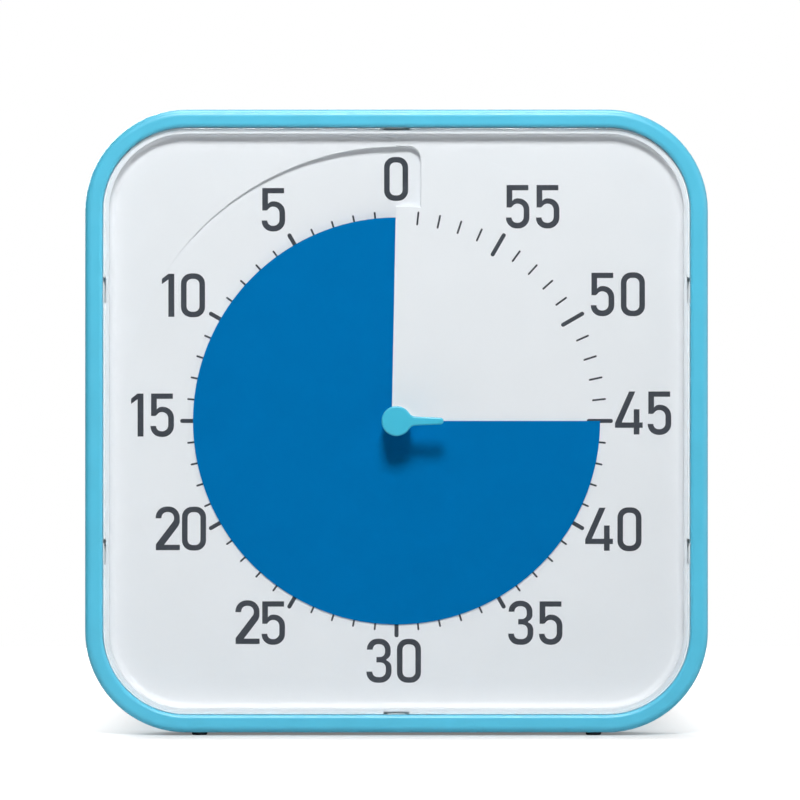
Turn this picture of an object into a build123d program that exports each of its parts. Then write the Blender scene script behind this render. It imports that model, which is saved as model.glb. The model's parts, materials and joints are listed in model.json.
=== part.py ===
from build123d import *
from math import atan2, cos, degrees, hypot, pi, radians, sin
import os

# A 12-inch-class visual countdown timer. A blue sheet covers the minutes that are left, and is fed
# through a slot at 12 o'clock by a knob and a quartz movement.
#
# Everything is drawn in the face frame: X to the right, Y up, Z towards the viewer, with the origin
# on the dial's axis in the plane of the frame's front. A depth is a distance behind that plane, so a
# depth d is at Z = -d. place() moves the solids to the object's own frame: X right, Y to the rear,
# Z up, with the origin at the centre of the base. All lengths are millimetres.

# --- Driving dimensions: clearances -----------------------------------------------------------
SEAT_GAP = 0.1             # between pieces that fit into each other
MOVING_GAP = 0.3           # beside a piece that moves
RUNNING_GAP = 0.05         # radial clearance of a shaft in its bearing
SINK = 0.5                 # how far a boss, post or rib is drawn into the wall that carries it
MATCH = 0.01               # lengths nearer than this are taken as equal when edges are picked

# --- Driving dimensions: housing --------------------------------------------------------------
FACE_SIZE = 304.8          # side of the square front
CORNER_R = 49.4            # radius of its corners
CASE_DEPTH = 41.0          # frame front to rear wall
FRAME_DEPTH = 22.0         # depth of the front frame
BAND = 8.7                 # width of the frame's front band
FRAME_WALL = 2.2           # outer wall of the frame
FRAME_SKIN = 2.2           # front skin of the frame
WINDOW_WALL = 2.0          # inner wall, round the window
FRAME_EDGE_R = 3.4         # outer front edge
WINDOW_EDGE_R = 2.0        # front edge of the window
FRAME_RIB_T = 1.2
FRAME_RIB_SHORT = 3.0      # ribs end this far in front of the dial
FRAME_RIBS = (-44, -22, 22, 44)
CASE_WALL = 2.4            # walls of the rear case
CASE_EDGE_R = 6.0          # rear edge of the case
TONGUE_T = 1.2             # tongue of the rear case inside the frame
TONGUE_LENGTH = 3.5

# --- Driving dimensions: lens -----------------------------------------------------------------
LENS_GAP = 0.25            # between the lens and the window wall
LENS_FRONT = 1.3           # depth of the lens's front face
LENS_T = 1.8
LENS_EDGE_R = 0.8
LEG_T = 1.0                # legs that carry the snap tabs, as wide as the tabs
LEG_REAR = 7.8
LENS_HOLE_R = 6.2
COLLAR_T = 1.4             # collar behind the hole
COLLAR_LENGTH = 1.6
TAB_WIDTH = 12.4           # snap tabs
TAB_OUT = 1.2
TAB_FRONT = 4.4
TAB_REAR = 6.8
TAB_SLOT_OVER = 0.4        # slot for a tab, past the window wall
NOTCH_DEPTH = 0.6          # notch in the pane above a tab
NOTCH_SHOULDER = 2.0       # a leg, past its notch on each side
SIDE_TAB_SHIFT = 64.0      # side tabs, above and below the middle

# --- Driving dimensions: dial -----------------------------------------------------------------
TRAY_INSET = 10.2          # outer face of the dial's wall, inward from the silhouette
TRAY_WALL = 1.5
TRAY_LIP_T = 1.2           # lip of the wall, which backs the lens's edge
TRAY_LIP_GAP = 0.4         # between the lip and the window wall
TRAY_FILLET = 3.5          # between the wall and the dial's face
DIAL_DEPTH = 8.5           # the dial's flat face
DIAL_T = 2.0               # flat part
SHEET_T = 1.0              # helical part
FLANGE_INSET = 2.8         # edge of the dial's flange under the frame
RECESS_MARGIN = 6.2        # dial wall to the outer arc of the recess
RECESS_DEPTH = 3.5
RECESS_SPAN = 60.0         # degrees that the recess takes to run out
RECESS_RIGHT = 11.7        # right wall of the recess, from the axis
RECESS_CORNER_R = 6.0
RECESS_WALL_T = 1.2
RECESS_BEVEL = 0.5         # along the edges of its right end
HELIX_ZONE_R = 103.9       # outside this the helical offset fades out
SLOT_INNER_R = 105.5       # where the right edge of the slot turns out to the recess
SLOT_LIP_OUTER = 0.3       # how far the slot's right edge reaches past the axis, at the rim
SLOT_LIP_INNER = 2.2       # and at the hub
DISK_R = 99.8
DISK_T = 0.4
DISK_GAP = 0.15            # between the disk and the dial sheet, each side
DISK_LAP = 0.4             # degrees left open between the disk's two ends
HUB_R = 7.0
HUB_LEAD = 1.5             # hub in front of the dial's flat face
HUB_TAIL = 2.0             # from the hub to the movement
REST_ANGLE = 270.0         # setting of the model: 45 minutes
SECTIONS = 24              # radial sections of the helical surfaces
OVERRUN = 1.03             # the helical surfaces are drawn this much larger, then trimmed

# --- Driving dimensions: knob and arbor -------------------------------------------------------
KNOB_PROUD = 9.0           # knob in front of the frame
KNOB_R = 7.35
KNOB_REAR = 0.8
KNOB_STEM_R = 4.8
KNOB_EDGE_R = 0.9
KNOB_ROOF = 3.0            # from the knob's face to the arbor's end
POINTER_REACH = 23.0
POINTER_ROOT = 5.2         # the pointer's width at the axis
POINTER_TIP = 3.4          # and at its tip
POINTER_T = 3.0
POINTER_FILLET = 4.0
ARBOR_R = 2.5
ARBOR_FLAT_CUT = 0.5       # depth of each of the arbor's two flats
ARBOR_TAIL_R = 1.5
THRUST_COLLAR = 0.9        # step of the arbor's thrust collar
THRUST_COLLAR_T = 0.7
CLUTCH_R = 3.0             # spring washer of the clutch
CLUTCH_REACH = 5.8
CLUTCH_LEG = 1.8
CLUTCH_TOE = 1.2
CLUTCH_T = 0.3
CLUTCH_RISE = 0.7          # height of the pressed spring
CLIP_R = 2.4
CLIP_T = 0.4
CLIP_MOUTH = 0.8

# --- Driving dimensions: battery --------------------------------------------------------------
BATTERY_R = 7.25
BATTERY_LENGTH = 50.5
BATTERY_EDGE_R = 0.6
BUTTON_R = 2.6             # the battery's plus end
BUTTON_LENGTH = 1.2
BATTERY_Y = -48.0
BATTERY_REAR_ROOM = 1.85   # from the battery to the inside of the rear wall
BATTERY_FRONT_ROOM = 0.65  # from the battery to the cover
BATTERY_SIDE_ROOM = 0.6    # above and below it
BATTERY_LOW_ROOM = 4.75    # from the battery to the movement's lower side
BAY_HALF = 30.0
BAY_WALL = 1.2
CONTACT_T = 0.5
CONTACT_HALF = 5.0
LEAF_T = 0.4
LEAF_WIDTH = 6.0
LEAF_FOOT = (-8.0, 6.0)    # ends of the leaf's foot, forward of the battery's axis
LEAF_END = (2.5, -6.0)     # its free end, from the foot
SADDLES = (-12, 12)
SADDLE_WIDTH = 14.0
SADDLE_RISE = 3.0          # saddles end this far in front of the battery's axis

# --- Driving dimensions: movement -------------------------------------------------------------
MODULE_HALF_WIDTH = 36.0
MODULE_TOP = 24.0
MODULE_CLEAR = 0.6         # between the movement and the rear wall
MODULE_COVER_DEPTH = 7.0
MODULE_WALL = 1.6
MODULE_CORNER_R = 3.0
MODULE_EDGE_R = 1.2
MODULE_SCREW_X = 31.0
MODULE_SCREW_TOP = 19.0
MODULE_POST_R = 2.6
HEAD_SEAT = 3.0            # depth of the head wells in the movement's back
EAR_X = 40.0
EAR_TOP = 8.0
EAR_BOTTOM = -50.0
EAR_R = 3.5
EAR_T = 2.0
EAR_POST_R = 3.0
PIVOT_R = 0.5
PIVOT_LENGTH = 1.0
WHEEL_ARBOR_R = 0.9
BEARING_BOSS_R = 2.0
FRONT_BOSS = 1.4           # heights of the pivot bosses
REAR_BOSS = 1.2
SHOULDER_GAP = 0.2         # end play of a wheel's arbor
ARBOR_BEARING_WALL = 2.0
TAIL_BEARING_R = 3.0
TAIL_BEARING = 1.6
GEAR_MODULE = 0.4
PINION_LEAVES = 8
WHEEL_A_TEETH = 32
WHEEL_B_TEETH = 60
WHEEL_C_TEETH = 60
ARBOR_WHEEL_TEETH = 64
TRAIN_HEADINGS = (150, 265, 280, 0)      # from each wheel to the next, arbor to rotor
WHEEL_T = 1.0
WHEEL_RIM = 1.6
WHEEL_HOLE = 0.28          # radius of the holes, as a share of the web
WHEEL_HOLE_IN = 1.6        # their centres, in from the rim, in hole radii
WHEEL_HUB_R = 3.0          # hub of the arbor wheel
WHEEL_HUB_OUT = 0.45
PINION_T = 1.6
PLANE_4_BACK = 4.0         # the wheels' four planes, each in front of the one behind it
PLANE_3_STEP = 2.8
PLANE_2_STEP = 2.6
PLANE_1_STEP = 2.4
MAGNET_R = 2.8
MAGNET_T = 2.6
STATOR_T = 1.0
STATOR_STEP = 1.4          # stator in front of plane 3
YOKE_RING_R = 5.4
YOKE_WIDTH = 4.0
YOKE_DROP = 5.3            # lower pole, under the rotor's axis
YOKE_SLIT = 1.7            # between the two poles
YOKE_BEND = 9.0
COIL_X = 24.0
COIL_BOTTOM = -20.5
COIL_TOP = -1.5
COIL_R = 4.2
COIL_CORE_HALF = 1.5
COIL_CORE_T = 1.0
COIL_FLANGE_HALF = 4.5
COIL_FLANGE_T = 1.0
CORE_OVER = 0.3            # yoke end past the core's end
BOARD_LEFT = 14.5
BOARD_RIGHT = 33.5
BOARD_TOP = 2.0
BOARD_T = 1.0
BOARD_STANDOFF = 0.8
BOARD_MARGIN = 0.4         # between the board and a screw post
STAKE_X = 17.5
STAKE_INSET = 3.0          # stakes, in from the board's top and bottom
STAKE_R = 0.7
STAKE_SHOULDER_R = 1.5
CHIP = (17, 22, -20, -14)
CHIP_T = 0.25
CRYSTAL_AT = (17.4, -7.5)
CRYSTAL_R = 1.1
CRYSTAL_LENGTH = 6.2
CRYSTAL_EDGE = 0.3
BUZZER_AT = (23.0, 11.0)
BUZZER_R = 7.0
BUZZER_T = 4.4
BUZZER_HOLE_R = 1.2
BUZZER_HOLE_DEPTH = 1.5
BUZZER_PORT_R = 3.0
POT_AT = (24.0, -27.0)
POT_R = 4.5
POT_T = 4.0
POT_FLOOR = 1.0
VOLUME_STEM_R = 2.0
VOLUME_STEM_CLEAR = 0.5
VOLUME_KNOB_R = 6.5
VOLUME_KNOB_T = 1.2
VOLUME_KNOB_SUNK = 0.1
VOLUME_NOTCHES = 18
VOLUME_NOTCH_R = 0.5
VOLUME_SLOT_HALF = 4.5
VOLUME_SLOT_T = 1.2
VOLUME_SLOT_FLOOR = 0.5

# --- Driving dimensions: openings in the back, feet, fasteners --------------------------------
DOOR_HALF = 29.7
DOOR_LAP = 3.7             # door's height beyond the battery's opening
DOOR_PIN_R = 0.7
DOOR_PIN_REACH = 1.2
DOOR_PIN_HOLE = 1.6
DOOR_RIM = 2.0
DOOR_RIM_IN = 0.3
DOOR_RIM_SET = 1.0
DIP_R = 6.0                # finger dip under the door's edge
DIP_DROP = 3.0
GRIP_HALF = 8.0            # grip lines on the door
GRIP_T = 0.8
GRIP_DEPTH = 0.5
GRIP_LINES = (-1, 1, 3)
DISH_MARGIN = 1.2          # round the volume knob
DISH_WALL = 1.2
KEYHOLE_Y = 105.0
KEYHOLE_R = 4.5
KEYHOLE_NECK = 4.4
KEYHOLE_RUN = 11.0         # entry centre to neck end centre
POCKET_T = 1.4
POCKET_MARGIN = 2.2
POCKET_DEPTH = 5.0
GRILLE_SLOTS = 5
GRILLE_PITCH = 3.2
GRILLE_SLOT = 1.6
GRILLE_LENGTH = 15.0       # middle slot
GRILLE_TAPER = 2.2         # each slot further out is this much shorter
FOOT_R = 3.8
FOOT_HEIGHT = 1.4
FOOT_EDGE = 0.5
FOOT_X = 96.5
FOOT_FRONT_DEPTH = 7.5
FOOT_REAR_DEPTH = 30.5
FOOT_PEG_R = 1.45
FRAME_BOSS_INSET = 5.2     # screw bosses in the frame's channel
FRAME_BOSS_R = 2.3
FRAME_BOSS_TOP = 85.0      # their places along the top and bottom
FRAME_BOSS_SIDE = 95.0     # and along the sides
PILOT_R = 1.1
PILOT_FLOOR = 1.0          # skin left in front of a pilot hole
SCREW_CLEAR = 0.2          # hole over shank
HEAD_CLEAR = 0.2           # well over head
SMALL_HEAD_R = 2.1
SMALL_HEAD_T = 1.3
LARGE_HEAD_R = 2.9
LARGE_HEAD_T = 2.0
HEAD_BEVEL = 0.35          # share of the head's height
CROSS_LENGTH = 1.2         # cross recess, as shares of the head's radius
CROSS_WIDTH = 0.24
SCREW_TIP_ROOM = 0.8       # pilot hole past the frame screws
CASE_SCREW_LENGTH = 11.0
MOVEMENT_SCREW_LENGTH = 11.0
EAR_SCREW_LENGTH = 5.0
CASE_POST_R = 4.8
CASE_BOSS_R = 4.0
CASE_BOSS_FLOOR = 3.0      # dial face to the bottom of the bosses' holes
CASE_CORNER_INSET = 40.4   # corner case screws, inward from the silhouette
CASE_BOSS_REAR = 24.0
CASE_SEAT = 28.0           # depth of the case screws' head seats
CASE_SIDE_INSET = 27.2     # side case screws, inward from the silhouette
CASE_RIBS_X = (-64.0, 64.0)
CASE_RIBS_Y = (-84.0, 64.0)
CASE_RIB_T = 1.4
CASE_RIB_HEIGHT = 2.6

# --- Places that follow from them -------------------------------------------------------------
HALF = FACE_SIZE / 2
LENS_INSET = BAND + LENS_GAP
LENS_REAR = LENS_FRONT + LENS_T
NOTCH_HALF = TAB_WIDTH / 2 - NOTCH_SHOULDER
TRAY_FRONT = LENS_REAR + MOVING_GAP
RECESS_R = HALF - TRAY_INSET - TRAY_WALL - RECESS_MARGIN
CASE_INNER_REAR = CASE_DEPTH - CASE_WALL

BATTERY_DEPTH = CASE_INNER_REAR - BATTERY_REAR_ROOM - BATTERY_R      # the battery's axis
BATTERY_RIGHT = BAY_HALF - CONTACT_T                                 # tip of its plus end
BATTERY_LEFT = BATTERY_RIGHT - BATTERY_LENGTH
BAY_TOP = BATTERY_Y + BATTERY_R + BATTERY_SIDE_ROOM

MODULE_REAR = CASE_INNER_REAR - MODULE_CLEAR
MODULE_FRONT = BATTERY_DEPTH - BATTERY_R - BATTERY_FRONT_ROOM - MODULE_WALL
MODULE_SPLIT = MODULE_FRONT + MODULE_COVER_DEPTH
MODULE_BOTTOM = BATTERY_Y - BATTERY_R - BATTERY_LOW_ROOM
MODULE_SCREW_LOW = BAY_TOP + BAY_WALL + MODULE_POST_R + SHOULDER_GAP
MODULE_SCREW_ROWS = (MODULE_SCREW_TOP, MODULE_SCREW_LOW)
MODULE_SCREWS = [(x, y) for y in MODULE_SCREW_ROWS for x in (-MODULE_SCREW_X, MODULE_SCREW_X)]
EARS = [(x, y) for y in (EAR_TOP, EAR_BOTTOM) for x in (-EAR_X, EAR_X)]
EAR_REAR = MODULE_REAR - HEAD_SEAT
EAR_FRONT = EAR_REAR - EAR_T
GEAR_REAR = MODULE_REAR - MODULE_WALL          # inner faces of the movement's housing
GEAR_FRONT = MODULE_FRONT + MODULE_WALL

PLANE_4 = GEAR_REAR - PLANE_4_BACK             # front faces of the wheels
PLANE_3 = PLANE_4 - PLANE_3_STEP
PLANE_2 = PLANE_3 - PLANE_2_STEP
PLANE_1 = PLANE_2 - PLANE_1_STEP
STATOR_FRONT = PLANE_3 - STATOR_STEP
BOARD_FRONT = GEAR_REAR - BOARD_STANDOFF - BOARD_T
BOARD_BOTTOM = MODULE_SCREW_LOW + MODULE_POST_R + BOARD_MARGIN
STAKES = ((STAKE_X, BOARD_BOTTOM + STAKE_INSET), (STAKE_X, BOARD_TOP - STAKE_INSET))
YOKE_RIGHT = COIL_X + COIL_CORE_HALF + YOKE_WIDTH / 2

TRAVEL = SHEET_T + DISK_T + 2 * DISK_GAP       # how far the disk advances in one turn
HUB_FRONT = DIAL_DEPTH - HUB_LEAD
HUB_REAR = MODULE_FRONT - HUB_TAIL
KNOB_STEM_REAR = HUB_FRONT - TRAVEL * REST_ANGLE / 360 - SEAT_GAP
ARBOR_FRONT = KNOB_ROOF - KNOB_PROUD
ARBOR_FLAT = ARBOR_R - ARBOR_FLAT_CUT
CLUTCH_FRONT = PLANE_1 - CLUTCH_RISE

DOOR_HEIGHT = 2 * (BATTERY_R + BATTERY_SIDE_ROOM) + DOOR_LAP
DOOR_BOTTOM = BATTERY_Y - DOOR_HEIGHT / 2
DOOR_TOP = BATTERY_Y + DOOR_HEIGHT / 2
DOOR_EDGE_R = CASE_WALL / 2
HINGE_Y = DOOR_TOP - DOOR_EDGE_R
HINGE_DEPTH = CASE_DEPTH - DOOR_EDGE_R
VOLUME_KNOB_FRONT = CASE_DEPTH - VOLUME_KNOB_SUNK - VOLUME_KNOB_T
DISH_REAR = VOLUME_KNOB_FRONT - MOVING_GAP


# --- Helpers ----------------------------------------------------------------------------------
def slab(profile, front, rear):
    """A profile given the depths from front to rear."""
    return extrude(Pos(0, 0, -rear) * profile, amount=rear - front)


def outline(inset):
    """The housing's rounded square, moved in by inset."""
    side = FACE_SIZE - 2 * inset
    return RectangleRounded(side, side, CORNER_R - inset)


def rod(radius, front, rear, at=(0, 0)):
    """A cylinder along the depth."""
    return Pos(at[0], at[1], 0) * slab(Circle(radius), front, rear)


def box(left, right, bottom, top, front, rear):
    """A block given by its six faces."""
    middle = ((left + right) / 2, (bottom + top) / 2)
    return Pos(middle[0], middle[1], 0) * slab(Rectangle(right - left, top - bottom), front, rear)


def rim_edges(solid, inset, depth):
    """Edges of a solid that follow the housing's outline at one inset and depth."""
    side = HALF - inset

    def follows(edge):
        middle = edge @ 0.5
        if abs(middle.Z + depth) > MATCH:
            return False
        if edge.geom_type == GeomType.CIRCLE:
            return abs(edge.radius - (CORNER_R - inset)) < MATCH
        return abs(max(abs(middle.X), abs(middle.Y)) - side) < MATCH

    return solid.edges().filter_by(follows)


def screw(length, head_r, head_t, at, seat, towards_rear=False):
    """A pan-head screw with a cross recess, whose head rests on the depth seat."""
    turn = 180 if towards_rear else 0
    body = Cylinder(PILOT_R - RUNNING_GAP, length, align=(Align.CENTER, Align.CENTER, Align.MIN))
    cap = Pos(0, 0, -head_t) * Cylinder(head_r, head_t, align=(Align.CENTER, Align.CENTER, Align.MIN))
    cap = chamfer(cap.edges().group_by(Axis.Z)[0], head_t * HEAD_BEVEL)
    long, short = head_r * CROSS_LENGTH, head_r * CROSS_WIDTH
    cross = Rectangle(long, short) + Rectangle(short, long)
    cap -= extrude(Pos(0, 0, -head_t) * cross, amount=head_t / 2)
    return Pos(at[0], at[1], -seat) * Rot(X=turn) * (body + cap)


def place(piece):
    """Move a solid from the face frame to the object's frame."""
    middle = (CASE_DEPTH - KNOB_PROUD) / 2
    face = Plane(origin=(0, -middle, FOOT_HEIGHT + HALF), x_dir=(1, 0, 0), z_dir=(0, -1, 0))
    return face.location * piece


# --- Front frame ------------------------------------------------------------------------------
def tab_places():
    """The six snap tabs of the lens: turns and shifts of a place on the top side."""
    sides = ((0, 0), (180, 0))
    flanks = ((turn, shift) for turn in (90, 270) for shift in (-SIDE_TAB_SHIFT, SIDE_TAB_SHIFT))
    return [Rot(Z=turn) * Pos(shift, 0, 0) for turn, shift in (*sides, *flanks)]


def frame_screw_places():
    near = HALF - FRAME_BOSS_INSET
    for sign in (-1, 1):
        for shift in (-FRAME_BOSS_TOP, FRAME_BOSS_TOP):
            yield (shift, sign * near)
        for shift in (-FRAME_BOSS_SIDE, FRAME_BOSS_SIDE):
            yield (sign * near, shift)


def make_front_frame():
    ring = slab(outline(0) - outline(BAND), 0, FRAME_DEPTH)
    ring = fillet(rim_edges(ring, 0, 0), FRAME_EDGE_R)
    ring = fillet(rim_edges(ring, BAND, 0), WINDOW_EDGE_R)
    channel = outline(FRAME_WALL) - outline(BAND - WINDOW_WALL)
    ring -= slab(channel, FRAME_SKIN, FRAME_DEPTH)
    ring -= slab(outline(FRAME_WALL), DIAL_DEPTH, FRAME_DEPTH)
    for at in frame_screw_places():
        ring += rod(FRAME_BOSS_R, FRAME_SKIN - SINK, DIAL_DEPTH, at)
        ring -= rod(PILOT_R, FRAME_SKIN + PILOT_FLOOR, DIAL_DEPTH, at)
    ring += frame_ribs()
    for tab_place in tab_places():
        ring -= tab_place * tab_slot()
    for x, depth in foot_places():
        ring -= foot_socket(x, depth)
    return ring


def frame_ribs():
    """Cross ribs between the frame's two walls, four on each side."""
    outer = HALF - FRAME_WALL / 2
    inner = HALF - BAND + WINDOW_WALL / 2
    half = FRAME_RIB_T / 2
    rib = box(-half, half, inner, outer, FRAME_SKIN - SINK, DIAL_DEPTH - FRAME_RIB_SHORT)
    sides = (0, 90, 180, 270)
    return Part() + [Rot(Z=turn) * Pos(shift, 0, 0) * rib for turn in sides for shift in FRAME_RIBS]


def tab_slot():
    """Slot in the window wall that a snap tab catches in."""
    half = TAB_WIDTH / 2 + 2 * MOVING_GAP
    wall = HALF - BAND
    past = wall + WINDOW_WALL + TAB_SLOT_OVER
    return box(-half, half, wall - SINK, past, TAB_FRONT - SEAT_GAP, TAB_REAR + MOVING_GAP)


def foot_places():
    return [(x, depth) for x in (-FOOT_X, FOOT_X) for depth in (FOOT_FRONT_DEPTH, FOOT_REAR_DEPTH)]


def foot_socket(x, depth):
    """Hole for a foot's peg through the bottom wall."""
    hole = Cylinder(FOOT_PEG_R + RUNNING_GAP, CASE_WALL * 2)
    return Pos(x, -HALF, -depth) * Rot(X=90) * hole


def make_foot(x, depth):
    """A round foot under the case, held by a peg."""
    pad = Cylinder(FOOT_R, FOOT_HEIGHT, align=(Align.CENTER, Align.CENTER, Align.MIN))
    pad = chamfer(pad.edges().group_by(Axis.Z)[-1], FOOT_EDGE)
    peg = Cylinder(FOOT_PEG_R, FRAME_WALL, align=(Align.CENTER, Align.CENTER, Align.MAX))
    return Pos(x, -HALF, -depth) * Rot(X=90) * (pad + peg)


def make_frame_screws():
    seat = DIAL_DEPTH + DIAL_T
    length = seat - FRAME_SKIN - PILOT_FLOOR - SCREW_TIP_ROOM
    return [screw(length, SMALL_HEAD_R, SMALL_HEAD_T, at, seat) for at in frame_screw_places()]


# --- Lens -------------------------------------------------------------------------------------
def make_lens():
    lens = slab(outline(LENS_INSET), LENS_FRONT, LENS_REAR)
    lens = fillet(rim_edges(lens, LENS_INSET, LENS_FRONT), LENS_EDGE_R)
    edge = HALF - LENS_INSET
    notch = box(-NOTCH_HALF, NOTCH_HALF, edge - NOTCH_DEPTH, edge, 0, LENS_REAR)
    leg = box(-TAB_WIDTH / 2, TAB_WIDTH / 2, edge - LEG_T, edge, LENS_REAR - LENS_T / 2, LEG_REAR)
    for tab_place in tab_places():
        lens += tab_place * (leg + snap_tab(edge))
        lens -= tab_place * notch
    collar = Circle(LENS_HOLE_R + COLLAR_T)
    lens += slab(collar, LENS_FRONT, LENS_REAR + COLLAR_LENGTH)
    return lens - rod(LENS_HOLE_R, 0, LEG_REAR)


def snap_tab(edge):
    """Wedge that catches in the window wall: square at the front, ramped at the rear."""
    root = edge - LEG_T / 2
    tip = edge + TAB_OUT
    ramp_start = TAB_FRONT + (TAB_REAR - TAB_FRONT) / 4
    side = Polyline((root, -TAB_FRONT), (tip, -TAB_FRONT), (tip, -ramp_start), (edge, -TAB_REAR),
                    (root, -TAB_REAR), close=True)
    across = Plane(origin=(-TAB_WIDTH / 2, 0, 0), x_dir=(0, 1, 0), z_dir=(1, 0, 0))
    return extrude(across * make_face(side), amount=TAB_WIDTH)


# --- Helical surfaces: the dial sheet and the disk --------------------------------------------
def recess_drop(angle):
    """Extra depth of the recess at an angle counter-clockwise from 12 o'clock."""
    return RECESS_DEPTH * max(0.0, 1 - angle / RECESS_SPAN)


def sheet_depth(angle):
    """Depth of the dial sheet's face in the zone that the disk covers."""
    return DIAL_DEPTH + TRAVEL * (360 - angle) / 360 + recess_drop(angle)


def disk_depth(angle):
    """Depth of the disk's rear face at the model's setting, by angle from its leading edge."""
    behind_slot = DIAL_DEPTH + TRAVEL * (1 + angle / 360) + recess_drop(360 - angle) - DISK_GAP
    return behind_slot - TRAVEL * REST_ANGLE / 360


def radial_section(points, angle):
    """A profile of (radius, depth) points in the half plane at an angle from 12 o'clock."""
    turn = radians(angle)
    out = Vector(-sin(turn), cos(turn), 0)
    corners = [out * radius + Vector(0, 0, -depth) for radius, depth in points]
    return make_face(Polyline(*corners, close=True))


def dial_section(angle):
    """Sheet profile: helical by the disk, level with the flat dial at the recess's outer arc."""
    inner = sheet_depth(angle)
    outer = DIAL_DEPTH + recess_drop(angle)
    reach = RECESS_R * OVERRUN
    beyond = outer - (inner - outer) * (reach - RECESS_R) / (RECESS_R - HELIX_ZONE_R)
    face = [(HUB_R * 0.5, inner), (HELIX_ZONE_R, inner), (reach, beyond)]
    back = [(radius, depth + SHEET_T) for radius, depth in reversed(face)]
    return radial_section(face + back, angle)


def disk_section(angle):
    """Disk profile at an angle clockwise from its leading edge."""
    rear = disk_depth(angle)
    reach = DISK_R * OVERRUN
    inner = HUB_R * 0.5
    points = [(inner, rear - DISK_T), (reach, rear - DISK_T), (reach, rear), (inner, rear)]
    return radial_section(points, REST_ANGLE - angle)


def make_timer_disk():
    last = 360 - DISK_LAP
    turns = [last * i / SECTIONS for i in range(SECTIONS + 1)]
    recess_starts = 360 - RECESS_SPAN
    turns = sorted({*turns, recess_starts})
    disk = loft([disk_section(angle) for angle in turns], ruled=True)
    trim = slab(Circle(DISK_R) - Circle(HUB_R), 0, CASE_DEPTH)
    return disk & trim


def make_disk_hub():
    """Sleeve that carries the disk and slides along the arbor's flats."""
    return slab(Circle(HUB_R) - arbor_outline(RUNNING_GAP), HUB_FRONT, HUB_REAR)


def recess_extension():
    """Plan of the recess to the right of 12 o'clock, out to its straight wall."""
    reach = Rectangle(2 * RECESS_RIGHT, 2 * RECESS_R) & Circle(RECESS_R)
    top_right = reach.vertices().group_by(Axis.Y)[-1].sort_by(Axis.X)[-1]
    rounded = fillet(top_right, RECESS_CORNER_R)
    right_half = Pos(RECESS_RIGHT, 0, 0) * Rectangle(2 * RECESS_RIGHT, 4 * RECESS_R)
    upper = Pos(0, 2 * RECESS_R, 0) * Rectangle(4 * RECESS_R, 4 * RECESS_R)
    return (rounded & right_half & upper) - Circle(SLOT_INNER_R)


def make_dial_plate():
    flat = slab(outline(FLANGE_INSET) - Circle(RECESS_R), DIAL_DEPTH, DIAL_DEPTH + DIAL_T)
    turns = [360 * i / SECTIONS for i in range(SECTIONS + 1)]
    turns = sorted({*turns, RECESS_SPAN})
    sheet = loft([dial_section(angle) for angle in turns], ruled=True)
    sheet &= rod(RECESS_R + RECESS_WALL_T / 2, 0, CASE_DEPTH)
    dial = flat + sheet - slab(recess_extension(), 0, CASE_DEPTH)
    dial = dial + recess_floor() + recess_walls() + slot_lip() - recess_bevel()
    dial -= rod(HUB_R + MOVING_GAP + RUNNING_GAP, 0, CASE_DEPTH)
    return finish_tray(dial)


def recess_floor():
    """Floor of the recess to the right of 12 o'clock, on from the sheet's edge."""
    start = dial_section(0)
    run = extrude(start, amount=RECESS_RIGHT + RECESS_WALL_T, dir=(1, 0, 0))
    plan = offset(recess_extension(), RECESS_WALL_T / 2)
    return run & slab(plan, 0, CASE_DEPTH) & box(0, 2 * RECESS_RIGHT, 0, 2 * RECESS_R, 0, CASE_DEPTH)


def recess_walls():
    """Upright walls of the recess: the outer arc, the straight right end and the inner arc."""
    rear = sheet_depth(0) + SHEET_T
    outer = Circle(RECESS_R + RECESS_WALL_T) - Circle(RECESS_R)
    far = [arc_point(2 * RECESS_R, RECESS_SPAN * share) for share in (0, 0.5, 1)]
    sector = make_face(Polyline((0, 0), *far, close=True))
    plan = recess_extension()
    jacket = offset(plan, RECESS_WALL_T) - plan
    right = Pos(RECESS_RIGHT * 2, RECESS_R, 0) * Rectangle(4 * RECESS_RIGHT, 2 * RECESS_R)
    return slab(outer & sector, DIAL_DEPTH, rear) + slab(jacket & right, DIAL_DEPTH, rear)


def recess_bevel():
    """Cutter for the narrow bevel round the right end of the recess, wider towards the front."""
    floor = Pos(0, 0, -DIAL_DEPTH - RECESS_BEVEL) * recess_extension()
    return extrude(floor, amount=RECESS_BEVEL + SEAT_GAP, taper=-45)


def arc_point(radius, angle):
    """Point at a radius and an angle counter-clockwise from 12 o'clock."""
    turn = radians(angle)
    return (-radius * sin(turn), radius * cos(turn))


def slot_lip():
    """The right edge of the slot, which leans a little over the axis towards the hub."""
    lip = Polyline((SINK, HUB_R), (SINK, SLOT_INNER_R), (-SLOT_LIP_OUTER, SLOT_INNER_R),
                   (-SLOT_LIP_INNER, HUB_R), close=True)
    return slab(make_face(lip), DIAL_DEPTH, DIAL_DEPTH + SHEET_T - DISK_GAP)


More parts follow.
